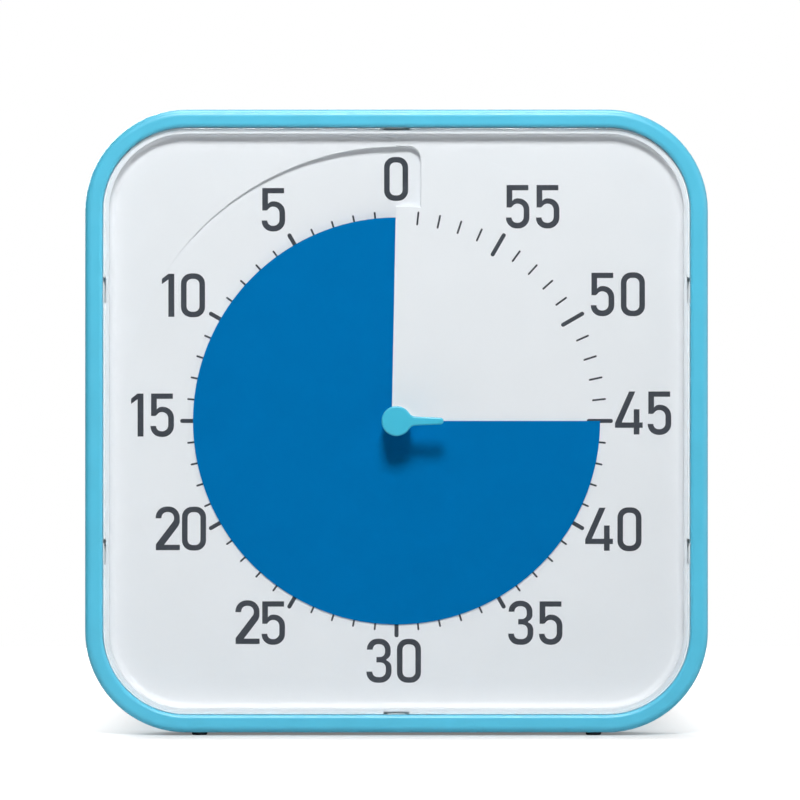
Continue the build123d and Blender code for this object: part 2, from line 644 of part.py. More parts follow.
def finish_tray(dial):
    """Add the wall round the dial, its lip and inner fillet, and the screw holes and bosses."""
    inside = outline(TRAY_INSET + TRAY_WALL)
    lip = slab(outline(BAND + TRAY_LIP_GAP) - inside, TRAY_FRONT, TRAY_FRONT + TRAY_LIP_T)
    half = TAB_WIDTH / 2 + MOVING_GAP
    leg_room = box(-half, half, HALF - TRAY_INSET, HALF, TRAY_FRONT, TRAY_FRONT + TRAY_LIP_T)
    for tab_place in tab_places():
        lip -= tab_place * leg_room
    dial += slab(outline(TRAY_INSET) - inside, TRAY_FRONT, DIAL_DEPTH + DIAL_T) + lip
    dial = fillet(rim_edges(dial, TRAY_INSET + TRAY_WALL, DIAL_DEPTH), TRAY_FILLET)
    for at in frame_screw_places():
        dial -= rod(PILOT_R + SCREW_CLEAR, DIAL_DEPTH, DIAL_DEPTH + DIAL_T, at)
    for at in case_screw_places():
        dial += rod(CASE_BOSS_R, DIAL_DEPTH + SHEET_T, CASE_BOSS_REAR, at)
        dial -= rod(PILOT_R, DIAL_DEPTH + CASE_BOSS_FLOOR, CASE_BOSS_REAR, at)
    return dial


def case_screw_places():
    corner = HALF - CASE_CORNER_INSET
    flank = HALF - CASE_SIDE_INSET
    corners = [(x, y) for x in (-corner, corner) for y in (-corner, corner)]
    return corners + [(-flank, 0), (flank, 0)]


def make_case_screws():
    places = case_screw_places()
    return [screw(CASE_SCREW_LENGTH, LARGE_HEAD_R, LARGE_HEAD_T, at, CASE_SEAT) for at in places]


# --- Knob and arbor ---------------------------------------------------------------------------
def knob_outline():
    """A disc with a pointer that narrows from the axis to its round tip."""
    tip_r = POINTER_TIP / 2
    reach = POINTER_REACH - tip_r
    bar = Polyline((0, -POINTER_ROOT / 2), (reach, -tip_r), (reach, tip_r), (0, POINTER_ROOT / 2), close=True)
    plan = Circle(KNOB_R) + make_face(bar) + Pos(reach, 0, 0) * Circle(tip_r)
    roots = [v for v in plan.vertices() if abs(hypot(v.X, v.Y) - KNOB_R) < MATCH and v.X > 0]
    return fillet(roots, POINTER_FILLET)


def arbor_outline(clearance=0.0):
    """The arbor's section, round with two flats."""
    radius = ARBOR_R + clearance
    return Circle(radius) & Rectangle(2 * radius, 2 * (ARBOR_FLAT + clearance))


def make_knob():
    """Disc with a pointer towards the setting, and a stem that takes the arbor."""
    disc = rod(KNOB_R, -KNOB_PROUD, KNOB_REAR)
    knob = disc + slab(knob_outline(), -KNOB_PROUD, POINTER_T - KNOB_PROUD)
    knob = fillet(knob.edges().group_by(Axis.Z)[-1], KNOB_EDGE_R)
    knob += rod(KNOB_STEM_R, KNOB_REAR - SINK, KNOB_STEM_REAR)
    return knob - slab(arbor_outline(), ARBOR_FRONT, KNOB_STEM_REAR)


def make_arbor():
    """Stepped shaft: two flats for the knob and the hub, a thrust collar and a thin tail."""
    journal_front = MODULE_FRONT - SEAT_GAP
    collar_front = CLUTCH_FRONT - THRUST_COLLAR_T
    front = slab(arbor_outline(), ARBOR_FRONT, journal_front)
    journal = rod(ARBOR_R, journal_front, CLUTCH_FRONT)
    collar = rod(ARBOR_R + THRUST_COLLAR, collar_front, CLUTCH_FRONT)
    return front + journal + collar + rod(ARBOR_TAIL_R, CLUTCH_FRONT, GEAR_REAR - 2 * SHOULDER_GAP)


def make_clutch_spring():
    """Three-legged spring washer between the arbor's collar and its wheel."""
    turns = (0, 120, 240)
    leg = Pos(CLUTCH_REACH / 2, 0, 0) * Rectangle(CLUTCH_REACH, CLUTCH_LEG)
    plan = Circle(CLUTCH_R) + [Rot(Z=turn) * leg for turn in turns] - Circle(ARBOR_TAIL_R + RUNNING_GAP)
    toe = Pos(CLUTCH_REACH - CLUTCH_TOE / 2, 0, 0) * Rectangle(CLUTCH_TOE, CLUTCH_LEG)
    toe = slab(toe, CLUTCH_FRONT + CLUTCH_T, PLANE_1)
    return slab(plan, CLUTCH_FRONT, CLUTCH_FRONT + CLUTCH_T) + [Rot(Z=turn) * toe for turn in turns]


def make_arbor_clip():
    """Split ring behind the arbor wheel."""
    mouth = Pos(CLIP_R, 0, 0) * Rectangle(2 * CLIP_R, CLIP_MOUTH)
    front = PLANE_1 + WHEEL_T + WHEEL_HUB_OUT + RUNNING_GAP
    return slab(Circle(CLIP_R) - Circle(ARBOR_TAIL_R) - mouth, front, front + CLIP_T)


# --- Gear train -------------------------------------------------------------------------------
def centre_distance(wheel_teeth):
    return GEAR_MODULE * (wheel_teeth + PINION_LEAVES) / 2


def step(start, distance, heading):
    return (start[0] + distance * cos(radians(heading)), start[1] + distance * sin(radians(heading)))


ARBOR_AT = (0.0, 0.0)
WHEEL_C_AT = step(ARBOR_AT, centre_distance(ARBOR_WHEEL_TEETH), TRAIN_HEADINGS[0])
WHEEL_B_AT = step(WHEEL_C_AT, centre_distance(WHEEL_C_TEETH), TRAIN_HEADINGS[1])
WHEEL_A_AT = step(WHEEL_B_AT, centre_distance(WHEEL_B_TEETH), TRAIN_HEADINGS[2])
ROTOR_AT = step(WHEEL_A_AT, centre_distance(WHEEL_A_TEETH), TRAIN_HEADINGS[3])
PIVOTED = (WHEEL_A_AT, WHEEL_B_AT, WHEEL_C_AT, ROTOR_AT)


def heading(start, end):
    return degrees(atan2(end[1] - start[1], end[0] - start[0]))


def gear(teeth, turn, addendum, dedendum, tooth, tip):
    """Gear outline with straight-flanked teeth, one of them centred on the heading turn.

    The heights are in modules, tooth is half a tooth's width as a share of the pitch, and tip is
    the share of that width left at the tip.
    """
    pitch_r = GEAR_MODULE * teeth / 2
    root = pitch_r - dedendum * GEAR_MODULE
    top = pitch_r + addendum * GEAR_MODULE
    pitch = 2 * pi / teeth
    points = []
    for i in range(teeth):
        middle = radians(turn) + i * pitch
        flank = ((root, -tooth), (pitch_r, -tooth), (top, -tooth * tip), (top, tooth * tip),
                 (pitch_r, tooth), (root, tooth))
        points += [(r * cos(middle + share * pitch), r * sin(middle + share * pitch)) for r, share in flank]
    return make_face(Polyline(*points, close=True))


def wheel_outline(teeth, turn):
    return gear(teeth, turn, addendum=1.0, dedendum=1.1, tooth=0.22, tip=0.45)


def pinion_outline(turn):
    """Pinion with a gap, not a leaf, on the heading turn."""
    between = turn + 180 / PINION_LEAVES
    return gear(PINION_LEAVES, between, addendum=0.6, dedendum=1.3, tooth=0.18, tip=0.6)


def wheel_disc(teeth, turn, plane, at):
    """A wheel with four holes to lighten it."""
    web = GEAR_MODULE * teeth / 2 - WHEEL_RIM
    hole_r = (web - WHEEL_ARBOR_R) * WHEEL_HOLE
    hole = Pos(web - hole_r * WHEEL_HOLE_IN, 0, 0) * Circle(hole_r)
    plan = wheel_outline(teeth, turn) - [Rot(Z=angle) * hole for angle in (45, 135, 225, 315)]
    return Pos(at[0], at[1], 0) * slab(plan, plane, plane + WHEEL_T)


def pinion(turn, plane, at):
    middle = plane + WHEEL_T / 2
    return Pos(at[0], at[1], 0) * slab(pinion_outline(turn), middle - PINION_T / 2, middle + PINION_T / 2)


def wheel_arbor(at):
    """Arbor with a pivot at each end, for the bosses in the cover and the base."""
    front = GEAR_FRONT + FRONT_BOSS + SHOULDER_GAP
    rear = GEAR_REAR - REAR_BOSS - SHOULDER_GAP
    pivots = rod(PIVOT_R, front - PIVOT_LENGTH, rear + PIVOT_LENGTH, at)
    return rod(WHEEL_ARBOR_R, front, rear, at) + pivots


def compound_wheel(teeth, plane, driver, at, driven, pinion_plane):
    """Wheel turned by the pinion at driver, with a pinion that turns the wheel at driven."""
    disc = wheel_disc(teeth, heading(at, driver), plane, at)
    return disc + wheel_arbor(at) + pinion(heading(at, driven), pinion_plane, at)


def make_wheel_a():
    return compound_wheel(WHEEL_A_TEETH, PLANE_4, ROTOR_AT, WHEEL_A_AT, WHEEL_B_AT, PLANE_3)


def make_wheel_b():
    return compound_wheel(WHEEL_B_TEETH, PLANE_3, WHEEL_A_AT, WHEEL_B_AT, WHEEL_C_AT, PLANE_2)


def make_wheel_c():
    return compound_wheel(WHEEL_C_TEETH, PLANE_2, WHEEL_B_AT, WHEEL_C_AT, ARBOR_AT, PLANE_1)


def make_arbor_wheel():
    disc = wheel_disc(ARBOR_WHEEL_TEETH, heading(ARBOR_AT, WHEEL_C_AT), PLANE_1, ARBOR_AT)
    hub_rear = PLANE_1 + WHEEL_T + WHEEL_HUB_OUT
    return disc + rod(WHEEL_HUB_R, PLANE_1, hub_rear) - rod(ARBOR_TAIL_R + RUNNING_GAP, PLANE_1, hub_rear)


def make_rotor():
    """Round magnet and pinion on one arbor."""
    middle = STATOR_FRONT + STATOR_T / 2
    magnet = rod(MAGNET_R, middle - MAGNET_T / 2, middle + MAGNET_T / 2, ROTOR_AT)
    return magnet + wheel_arbor(ROTOR_AT) + pinion(heading(ROTOR_AT, WHEEL_A_AT), PLANE_4, ROTOR_AT)


# --- Drive, sound and battery -----------------------------------------------------------------
def yoke_bar(left, right, bottom):
    """A straight arm of the yoke, one yoke width high."""
    return Pos((left + right) / 2, bottom + YOKE_WIDTH / 2) * Rectangle(right - left, YOKE_WIDTH)


def make_stator():
    """Flat yoke from the two sides of the rotor to the two ends of the coil's core."""
    x, y = ROTOR_AT
    low = y - YOKE_DROP
    high = low + YOKE_WIDTH + YOKE_SLIT
    end = COIL_TOP + SINK
    rise = end + YOKE_WIDTH - high
    riser = Pos(YOKE_BEND - YOKE_WIDTH / 2, high + rise / 2) * Rectangle(YOKE_WIDTH, rise)
    plan = Pos(x, y) * Circle(YOKE_RING_R) + yoke_bar(x, YOKE_RIGHT, low) + yoke_bar(x, YOKE_BEND, high)
    plan = plan + riser + yoke_bar(YOKE_BEND - YOKE_WIDTH, YOKE_RIGHT, end)
    plan -= Pos(x, y) * Circle(MAGNET_R + MOVING_GAP)
    return slab(plan, STATOR_FRONT, STATOR_FRONT + STATOR_T)


def make_drive_coil():
    """Bobbin with its winding, on a flat core that rests on the yoke's ends."""
    seat = STATOR_FRONT + STATOR_T
    middle = seat + COIL_CORE_T / 2
    low = ROTOR_AT[1] - YOKE_DROP + CORE_OVER
    high = COIL_TOP + SINK + YOKE_WIDTH - CORE_OVER
    core = box(COIL_X - COIL_CORE_HALF, COIL_X + COIL_CORE_HALF, low, high, seat, seat + COIL_CORE_T)
    across = Pos(COIL_X, (COIL_TOP + COIL_BOTTOM) / 2, -middle) * Rot(X=90)
    winding = across * Cylinder(COIL_R, COIL_TOP - COIL_BOTTOM - COIL_FLANGE_T)
    side = 2 * COIL_FLANGE_HALF
    flange = Box(side, COIL_FLANGE_T, side)
    rows = (COIL_BOTTOM + COIL_FLANGE_T / 2, COIL_TOP - COIL_FLANGE_T / 2)
    return core + winding + [Pos(COIL_X, y, -middle) * flange for y in rows]


def make_circuit_board():
    rear = BOARD_FRONT + BOARD_T
    board = box(BOARD_LEFT, BOARD_RIGHT, BOARD_BOTTOM, BOARD_TOP, BOARD_FRONT, rear)
    board -= rod(VOLUME_STEM_R + VOLUME_STEM_CLEAR, BOARD_FRONT, rear, POT_AT)
    for at in STAKES:
        board -= rod(STAKE_R + RUNNING_GAP, BOARD_FRONT, rear, at)
    return board + box(*CHIP, BOARD_FRONT - CHIP_T, BOARD_FRONT)


def make_quartz_crystal():
    can = Rot(X=90) * Cylinder(CRYSTAL_R, CRYSTAL_LENGTH)
    can = chamfer(can.edges().filter_by(GeomType.CIRCLE), CRYSTAL_EDGE)
    return Pos(CRYSTAL_AT[0], CRYSTAL_AT[1], CRYSTAL_R - BOARD_FRONT) * can


def make_buzzer():
    can = rod(BUZZER_R, GEAR_REAR - BUZZER_T, GEAR_REAR, BUZZER_AT)
    return can - rod(BUZZER_HOLE_R, GEAR_REAR - BUZZER_HOLE_DEPTH, GEAR_REAR, BUZZER_AT)


def make_volume_pot():
    front = BOARD_FRONT - POT_T
    body = rod(POT_R, front, BOARD_FRONT, POT_AT)
    return body - rod(VOLUME_STEM_R + RUNNING_GAP, front + POT_FLOOR, BOARD_FRONT, POT_AT)


def make_volume_knob():
    """Knob sunk in the back, with a coin slot and a stem into the potentiometer."""
    turns = [360 / VOLUME_NOTCHES * i for i in range(VOLUME_NOTCHES)]
    notches = [Rot(Z=turn) * Pos(VOLUME_KNOB_R, 0, 0) * Circle(VOLUME_NOTCH_R) for turn in turns]
    rear = VOLUME_KNOB_FRONT + VOLUME_KNOB_T
    disc = slab(Circle(VOLUME_KNOB_R) - notches, VOLUME_KNOB_FRONT, rear)
    half = VOLUME_SLOT_T / 2
    slot = box(-VOLUME_SLOT_HALF, VOLUME_SLOT_HALF, -half, half, VOLUME_KNOB_FRONT + VOLUME_SLOT_FLOOR, rear)
    stem = rod(VOLUME_STEM_R, BOARD_FRONT - POT_T + POT_FLOOR + MOVING_GAP, VOLUME_KNOB_FRONT)
    return Pos(POT_AT[0], POT_AT[1], 0) * (disc - slot + stem)


def along_bay(radius, left, right):
    """A cylinder along the battery's axis."""
    middle = Pos((left + right) / 2, BATTERY_Y, -BATTERY_DEPTH)
    return middle * Rot(Y=90) * Cylinder(radius, right - left)


def make_aa_battery():
    shoulder = BATTERY_RIGHT - BUTTON_LENGTH
    can = along_bay(BATTERY_R, BATTERY_LEFT, shoulder)
    can = fillet(can.edges().filter_by(GeomType.CIRCLE), BATTERY_EDGE_R)
    return can + along_bay(BUTTON_R, shoulder, BATTERY_RIGHT)


def make_battery_plate_contact():
    """Flat contact for the plus end."""
    bottom, top = BATTERY_Y - CONTACT_HALF, BATTERY_Y + CONTACT_HALF
    front, rear = BATTERY_DEPTH - CONTACT_HALF, BATTERY_DEPTH + CONTACT_HALF
    return box(BATTERY_RIGHT, BAY_HALF, bottom, top, front, rear)


def make_battery_spring_contact():
    """Bent leaf that presses on the minus end, drawn as (distance across, distance forward)."""
    base = -BAY_HALF
    foot = base + LEAF_T / 2
    end = (base + LEAF_END[0], LEAF_END[1])
    bow = Polyline((foot, LEAF_FOOT[0]), (foot, LEAF_FOOT[1]), (BATTERY_LEFT - LEAF_T, 0), end)
    leaf = extrude(Plane.XZ * trace(bow, LEAF_T), amount=LEAF_WIDTH)
    return Pos(0, BATTERY_Y + LEAF_WIDTH / 2, -BATTERY_DEPTH) * leaf


# --- Movement housing -------------------------------------------------------------------------
def module_plan(inset):
    width = 2 * (MODULE_HALF_WIDTH - inset)
    height = MODULE_TOP - MODULE_BOTTOM - 2 * inset
    middle = (MODULE_TOP + MODULE_BOTTOM) / 2
    return Pos(0, middle) * RectangleRounded(width, height, MODULE_CORNER_R - inset)


def make_movement_cover():
    """Front half: arbor bearing, pivot bosses, screw posts and saddles for the battery."""
    shell = slab(module_plan(0), MODULE_FRONT, MODULE_SPLIT)
    shell = fillet(shell.edges().group_by(Axis.Z)[-1], MODULE_EDGE_R)
    shell -= slab(module_plan(MODULE_WALL), GEAR_FRONT, MODULE_SPLIT)
    root = GEAR_FRONT - SINK
    bearing_rear = CLUTCH_FRONT - THRUST_COLLAR_T - SHOULDER_GAP
    shell += rod(ARBOR_R + ARBOR_BEARING_WALL, root, bearing_rear)
    for at in PIVOTED:
        shell += rod(BEARING_BOSS_R, root, GEAR_FRONT + FRONT_BOSS, at)
        shell -= rod(PIVOT_R + RUNNING_GAP, GEAR_FRONT + MOVING_GAP, GEAR_FRONT + FRONT_BOSS, at)
    for at in MODULE_SCREWS:
        shell += rod(MODULE_POST_R, root, MODULE_SPLIT, at)
        shell -= rod(PILOT_R, GEAR_FRONT, MODULE_SPLIT, at)
    saddle = Pos(0, BATTERY_Y) * Rectangle(BAY_WALL, SADDLE_WIDTH)
    for x in SADDLES:
        shell += Pos(x, 0, 0) * slab(saddle, root, BATTERY_DEPTH - SADDLE_RISE)
    shell -= along_bay(BATTERY_R + SEAT_GAP, 2 * SADDLES[0], 2 * SADDLES[1])
    return shell - rod(ARBOR_R + RUNNING_GAP, MODULE_FRONT, bearing_rear)


def make_movement_base():
    """Rear half: battery bay, pivot bosses, board stakes and the ears that hold the module."""
    shell = slab(module_plan(0) - module_plan(MODULE_WALL), MODULE_SPLIT, MODULE_REAR)
    shell += slab(module_plan(MODULE_WALL / 2), GEAR_REAR, MODULE_REAR)
    root = GEAR_REAR + SINK
    shell += rod(TAIL_BEARING_R, GEAR_REAR - TAIL_BEARING, root)
    shell -= rod(ARBOR_TAIL_R + RUNNING_GAP, GEAR_REAR - TAIL_BEARING, GEAR_REAR)
    for at in PIVOTED:
        shell += rod(BEARING_BOSS_R, GEAR_REAR - REAR_BOSS, root, at)
        shell -= rod(PIVOT_R + RUNNING_GAP, GEAR_REAR - REAR_BOSS, GEAR_REAR - SEAT_GAP, at)
    for at in MODULE_SCREWS:
        shell += rod(MODULE_POST_R, MODULE_SPLIT, MODULE_REAR - SINK, at)
        shell -= rod(PILOT_R + SCREW_CLEAR, MODULE_SPLIT, MODULE_REAR, at)
        shell -= rod(SMALL_HEAD_R + HEAD_CLEAR, MODULE_REAR - HEAD_SEAT, MODULE_REAR, at)
    for at in STAKES:
        shell += rod(STAKE_SHOULDER_R, BOARD_FRONT + BOARD_T, root, at)
        shell += rod(STAKE_R, BOARD_FRONT - BOARD_MARGIN, GEAR_REAR, at)
    shell -= rod(VOLUME_STEM_R + VOLUME_STEM_CLEAR, GEAR_REAR, MODULE_REAR, POT_AT)
    shell -= rod(BUZZER_PORT_R, GEAR_REAR, MODULE_REAR, BUZZER_AT)
    return shell + bay_walls() + ears() - battery_opening()


def bay_walls():
    """Divider above the battery and the ribs behind its two contacts."""
    inner = MODULE_HALF_WIDTH - MODULE_WALL / 2
    floor = MODULE_BOTTOM + MODULE_WALL / 2
    rear = GEAR_REAR + SINK
    divider = box(-inner, inner, BAY_TOP, BAY_TOP + BAY_WALL, MODULE_SPLIT, rear)
    left = box(-BAY_HALF - BAY_WALL, -BAY_HALF, floor, BAY_TOP + SINK, MODULE_SPLIT, rear)
    right = box(BAY_HALF, BAY_HALF + BAY_WALL, floor, BAY_TOP + SINK, MODULE_SPLIT, rear)
    return divider + left + right


def battery_opening():
    half = BATTERY_R + BATTERY_SIDE_ROOM
    return box(-BAY_HALF, BAY_HALF, BATTERY_Y - half, BATTERY_Y + half, GEAR_REAR - SINK, MODULE_REAR)


def ears():
    """Four ears that the module screws pass through."""
    result = Part()
    for x, y in EARS:
        inner = (MODULE_HALF_WIDTH - MODULE_WALL / 2) * (1 if x > 0 else -1)
        arm = Pos((x + inner) / 2, y) * Rectangle(abs(x - inner), 2 * EAR_R)
        ear = arm + Pos(x, y) * Circle(EAR_R)
        result += slab(ear - Pos(x, y) * Circle(PILOT_R + SCREW_CLEAR), EAR_FRONT, EAR_REAR)
    return result


def make_movement_screws():
    seat = MODULE_REAR - HEAD_SEAT
    return [screw(MOVEMENT_SCREW_LENGTH, SMALL_HEAD_R, SMALL_HEAD_T, at, seat) for at in MODULE_SCREWS]


def make_module_screws():
    size = (EAR_SCREW_LENGTH, SMALL_HEAD_R, SMALL_HEAD_T)
    return [screw(*size, at, EAR_FRONT, towards_rear=True) for at in EARS]


# --- Rear case --------------------------------------------------------------------------------
def make_rear_case():
    shell = slab(outline(0), FRAME_DEPTH, CASE_DEPTH)
    shell = fillet(rim_edges(shell, 0, CASE_DEPTH), CASE_EDGE_R)
    cavity = slab(outline(CASE_WALL), FRAME_DEPTH, CASE_INNER_REAR)
    cavity = fillet(rim_edges(cavity, CASE_WALL, CASE_INNER_REAR), CASE_EDGE_R - CASE_WALL)
    shell -= cavity
    lip = FRAME_WALL + SEAT_GAP
    tongue = outline(lip) - outline(lip + TONGUE_T)
    shell += slab(tongue, FRAME_DEPTH - TONGUE_LENGTH, FRAME_DEPTH + 2 * TONGUE_LENGTH)
    for x, depth in foot_places():
        shell -= foot_socket(x, depth)
    shell += case_posts() + module_posts()
    shell += case_ribs()
    shell = cut_door(shell)
    shell = cut_volume_dish(shell)
    shell -= grille()
    for x, y in case_screw_places():
        shell -= rod(PILOT_R + SCREW_CLEAR, 0, CASE_DEPTH, (x, y))
        shell -= rod(LARGE_HEAD_R + HEAD_CLEAR, CASE_SEAT, CASE_DEPTH, (x, y))
    return cut_keyhole(shell)


def case_posts():
    posts = [rod(CASE_POST_R, CASE_BOSS_REAR, CASE_INNER_REAR + SINK, at) for at in case_screw_places()]
    return Part() + posts


def module_posts():
    posts = [rod(EAR_POST_R, EAR_REAR, CASE_INNER_REAR + SINK, at) for at in EARS]
    holes = [rod(PILOT_R, EAR_REAR, CASE_INNER_REAR, at) for at in EARS]
    return Part() + posts - holes


def case_ribs():
    """Low ribs that stiffen the rear wall above and beside the movement."""
    front = CASE_INNER_REAR - CASE_RIB_HEIGHT
    rear = CASE_INNER_REAR + SINK
    reach = HALF - CASE_EDGE_R
    half = CASE_RIB_T / 2
    ribs = [box(x - half, x + half, -reach, reach, front, rear) for x in CASE_RIBS_X]
    ribs += [box(-reach, reach, y - half, y + half, front, rear) for y in CASE_RIBS_Y]
    return Part() + ribs


def cut_door(shell):
    """Battery opening with a thickened rim that carries the door's pins."""
    side = DOOR_HALF + MOVING_GAP
    bottom, top = DOOR_BOTTOM - MOVING_GAP, DOOR_TOP + MOVING_GAP
    shell += box(-side - DOOR_RIM, side + DOOR_RIM, bottom - DOOR_RIM, top + DOOR_RIM,
                 CASE_INNER_REAR - DOOR_RIM_IN, CASE_DEPTH - DOOR_RIM_SET)
    shell -= box(-side, side, bottom, top, CASE_INNER_REAR - DOOR_RIM_IN, CASE_DEPTH)
    return shell - hinge_line(DOOR_PIN_R + RUNNING_GAP, side + DOOR_PIN_HOLE)


def hinge_line(radius, half):
    """A cylinder along the door's hinge axis."""
    return Pos(0, HINGE_Y, -HINGE_DEPTH) * Rot(Y=90) * Cylinder(radius, 2 * half)


def make_battery_door():
    """Door with a round upper edge on two pins, and a finger dip at its bottom."""
    leaf = box(-DOOR_HALF, DOOR_HALF, DOOR_BOTTOM, HINGE_Y, CASE_INNER_REAR, CASE_DEPTH)
    barrel = hinge_line(DOOR_EDGE_R, DOOR_HALF)
    pins = hinge_line(DOOR_PIN_R, DOOR_HALF + DOOR_PIN_REACH)
    dip = Pos(0, DOOR_BOTTOM - DIP_DROP, -CASE_DEPTH) * Sphere(DIP_R)
    floor = CASE_DEPTH - GRIP_DEPTH
    rows = [BATTERY_Y + line for line in GRIP_LINES]
    grooves = [box(-GRIP_HALF, GRIP_HALF, y - GRIP_T / 2, y + GRIP_T / 2, floor, CASE_DEPTH) for y in rows]
    return leaf + barrel + pins - dip - grooves


def cut_volume_dish(shell):
    """Round dish that the volume knob is sunk in."""
    radius = VOLUME_KNOB_R + DISH_MARGIN
    shell += rod(radius + DISH_WALL, DISH_REAR - DISH_WALL, CASE_INNER_REAR + SINK, POT_AT)
    shell -= rod(radius, DISH_REAR, CASE_DEPTH, POT_AT)
    return shell - rod(VOLUME_STEM_R + MOVING_GAP, DISH_REAR - DISH_WALL, CASE_DEPTH, POT_AT)


def grille():
    """Slots that let the buzzer's sound out, shorter towards the top and bottom."""
    middle = (GRILLE_SLOTS - 1) / 2
    result = Part()
    for i in range(GRILLE_SLOTS):
        y = BUZZER_AT[1] + (i - middle) * GRILLE_PITCH
        slot = SlotOverall(GRILLE_LENGTH - GRILLE_TAPER * abs(i - middle), GRILLE_SLOT)
        result += Pos(BUZZER_AT[0], y, 0) * slab(slot, CASE_INNER_REAR, CASE_DEPTH)
    return result


def cut_keyhole(shell):
    """Keyhole for a wall screw, with a closed pocket behind it."""
    width = 2 * (KEYHOLE_R + POCKET_MARGIN)
    height = width + KEYHOLE_RUN
    centre = Pos(0, KEYHOLE_Y + KEYHOLE_RUN / 2)
    front = CASE_INNER_REAR - POCKET_DEPTH
    outer = Rectangle(width + 2 * POCKET_T, height + 2 * POCKET_T)
    shell += slab(centre * outer, front - POCKET_T, CASE_INNER_REAR + SINK)
    shell -= slab(centre * Rectangle(width, height), front, CASE_INNER_REAR)
    end = Pos(0, KEYHOLE_Y + KEYHOLE_RUN) * Circle(KEYHOLE_NECK / 2)
    hole = Pos(0, KEYHOLE_Y) * Circle(KEYHOLE_R) + centre * Rectangle(KEYHOLE_NECK, KEYHOLE_RUN) + end
    return shell - slab(hole, CASE_INNER_REAR - SINK, CASE_DEPTH)


# --- All sub-parts ----------------------------------------------------------------------------
PIECES = {
    "front_frame": make_front_frame,
    "lens": make_lens,
    "dial_plate": make_dial_plate,
    "rear_case": make_rear_case,
    "frame_screws": make_frame_screws,
    "case_screws": make_case_screws,
    "foot_front_left": lambda: make_foot(-FOOT_X, FOOT_FRONT_DEPTH),
    "foot_front_right": lambda: make_foot(FOOT_X, FOOT_FRONT_DEPTH),
    "foot_rear_left": lambda: make_foot(-FOOT_X, FOOT_REAR_DEPTH),
    "foot_rear_right": lambda: make_foot(FOOT_X, FOOT_REAR_DEPTH),
    "knob": make_knob,
    "arbor": make_arbor,
    "clutch_spring": make_clutch_spring,
    "arbor_clip": make_arbor_clip,
    "disk_hub": make_disk_hub,
    "timer_disk": make_timer_disk,
    "movement_base": make_movement_base,
    "movement_cover": make_movement_cover,
    "movement_screws": make_movement_screws,
    "module_screws": make_module_screws,
    "circuit_board": make_circuit_board,
    "quartz_crystal": make_quartz_crystal,
    "drive_coil": make_drive_coil,
    "stator": make_stator,
    "rotor": make_rotor,
    "wheel_a": make_wheel_a,
    "wheel_b": make_wheel_b,
    "wheel_c": make_wheel_c,
    "arbor_wheel": make_arbor_wheel,
    "buzzer": make_buzzer,
    "volume_pot": make_volume_pot,
    "volume_knob": make_volume_knob,
    "aa_battery": make_aa_battery,
    "battery_spring_contact": make_battery_spring_contact,
    "battery_plate_contact": make_battery_plate_contact,
    "battery_door": make_battery_door,
}


def solids_of(piece):
    """The solids of a piece, which may be one shape or a list of them."""
    shapes = piece if isinstance(piece, list) else [piece]
    return [solid for shape in shapes for solid in shape.solids()]


def main():
    os.makedirs("parts", exist_ok=True)
    for name, make in PIECES.items():
        solids = [place(solid) for solid in solids_of(make())]
        piece = solids[0] if len(solids) == 1 else Compound(children=solids)
        piece.label = name
        export_step(piece, f"parts/{name}.step")
        print(f"{name:24s} {len(solids)} solid(s) {sum(s.volume for s in solids):12.1f} mm3")


main()
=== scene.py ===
"""Looks of the visual countdown timer: finishes, dial print, floor, lamps and camera."""
import json
import math

import bpy
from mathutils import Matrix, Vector
from mathutils.bvhtree import BVHTree
from mathutils.geometry import tessellate_polygon


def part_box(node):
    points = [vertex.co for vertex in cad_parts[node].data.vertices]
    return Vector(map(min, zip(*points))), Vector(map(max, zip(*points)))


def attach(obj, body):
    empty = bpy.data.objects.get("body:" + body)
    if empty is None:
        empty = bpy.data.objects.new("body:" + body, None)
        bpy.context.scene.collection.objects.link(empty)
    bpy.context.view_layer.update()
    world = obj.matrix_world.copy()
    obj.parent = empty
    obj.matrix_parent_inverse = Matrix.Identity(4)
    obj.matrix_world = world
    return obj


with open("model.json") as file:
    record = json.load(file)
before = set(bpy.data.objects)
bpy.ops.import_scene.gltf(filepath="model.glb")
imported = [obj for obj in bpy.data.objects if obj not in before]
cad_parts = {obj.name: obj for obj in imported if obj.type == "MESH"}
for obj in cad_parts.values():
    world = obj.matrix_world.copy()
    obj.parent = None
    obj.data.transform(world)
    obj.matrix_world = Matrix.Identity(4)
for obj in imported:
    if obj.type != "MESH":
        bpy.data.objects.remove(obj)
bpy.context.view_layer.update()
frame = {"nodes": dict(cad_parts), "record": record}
NODES = frame["nodes"]
MM = 0.001


def middle(node):
    """Centre of a CAD node's box."""
    low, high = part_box(node)
    return (low + high) / 2


# Where the knob's axis runs, and the front and the width of the face
AXIS_X = middle("arbor").x
AXIS_Z = middle("arbor").z
FRONT_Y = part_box("front_frame")[0].y
FACE_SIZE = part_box("front_frame")[1].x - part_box("front_frame")[0].x


# ---------------------------------------------------------------- materials

NOISE_LOW, NOISE_HIGH = 0.3, 0.7     # Blender's noise mostly stays between these
SQUARE_TO_Y = 0.9998                 # least part along Y of the normal of such a face

# The lens as it is built: thickness of its pane, half its width and radius of its corners
PANE_T = 1.8 * MM
LENS_HALF = 143.45 * MM
LENS_CORNER_R = 40.45 * MM
# Its milky part: how far it reaches in from the edge, how much of the pane's rear edge it takes in,
# and the share of the light that still goes through
LENS_RIM = 1.05 * MM
REAR_STRIP = 0.05 * MM
EDGE_CLEARNESS = 0.4
# Acrylic's gloss is on the coat. The body below hardly bends light, so the dial isn't shifted.
COAT_IOR, BODY_IOR = 1.49, 1.05
LENS_ROUGHNESS = 0.02
LENS_SHADOW = (0.96, 0.97, 0.97, 1)  # share of the lamps' light that passes the lens

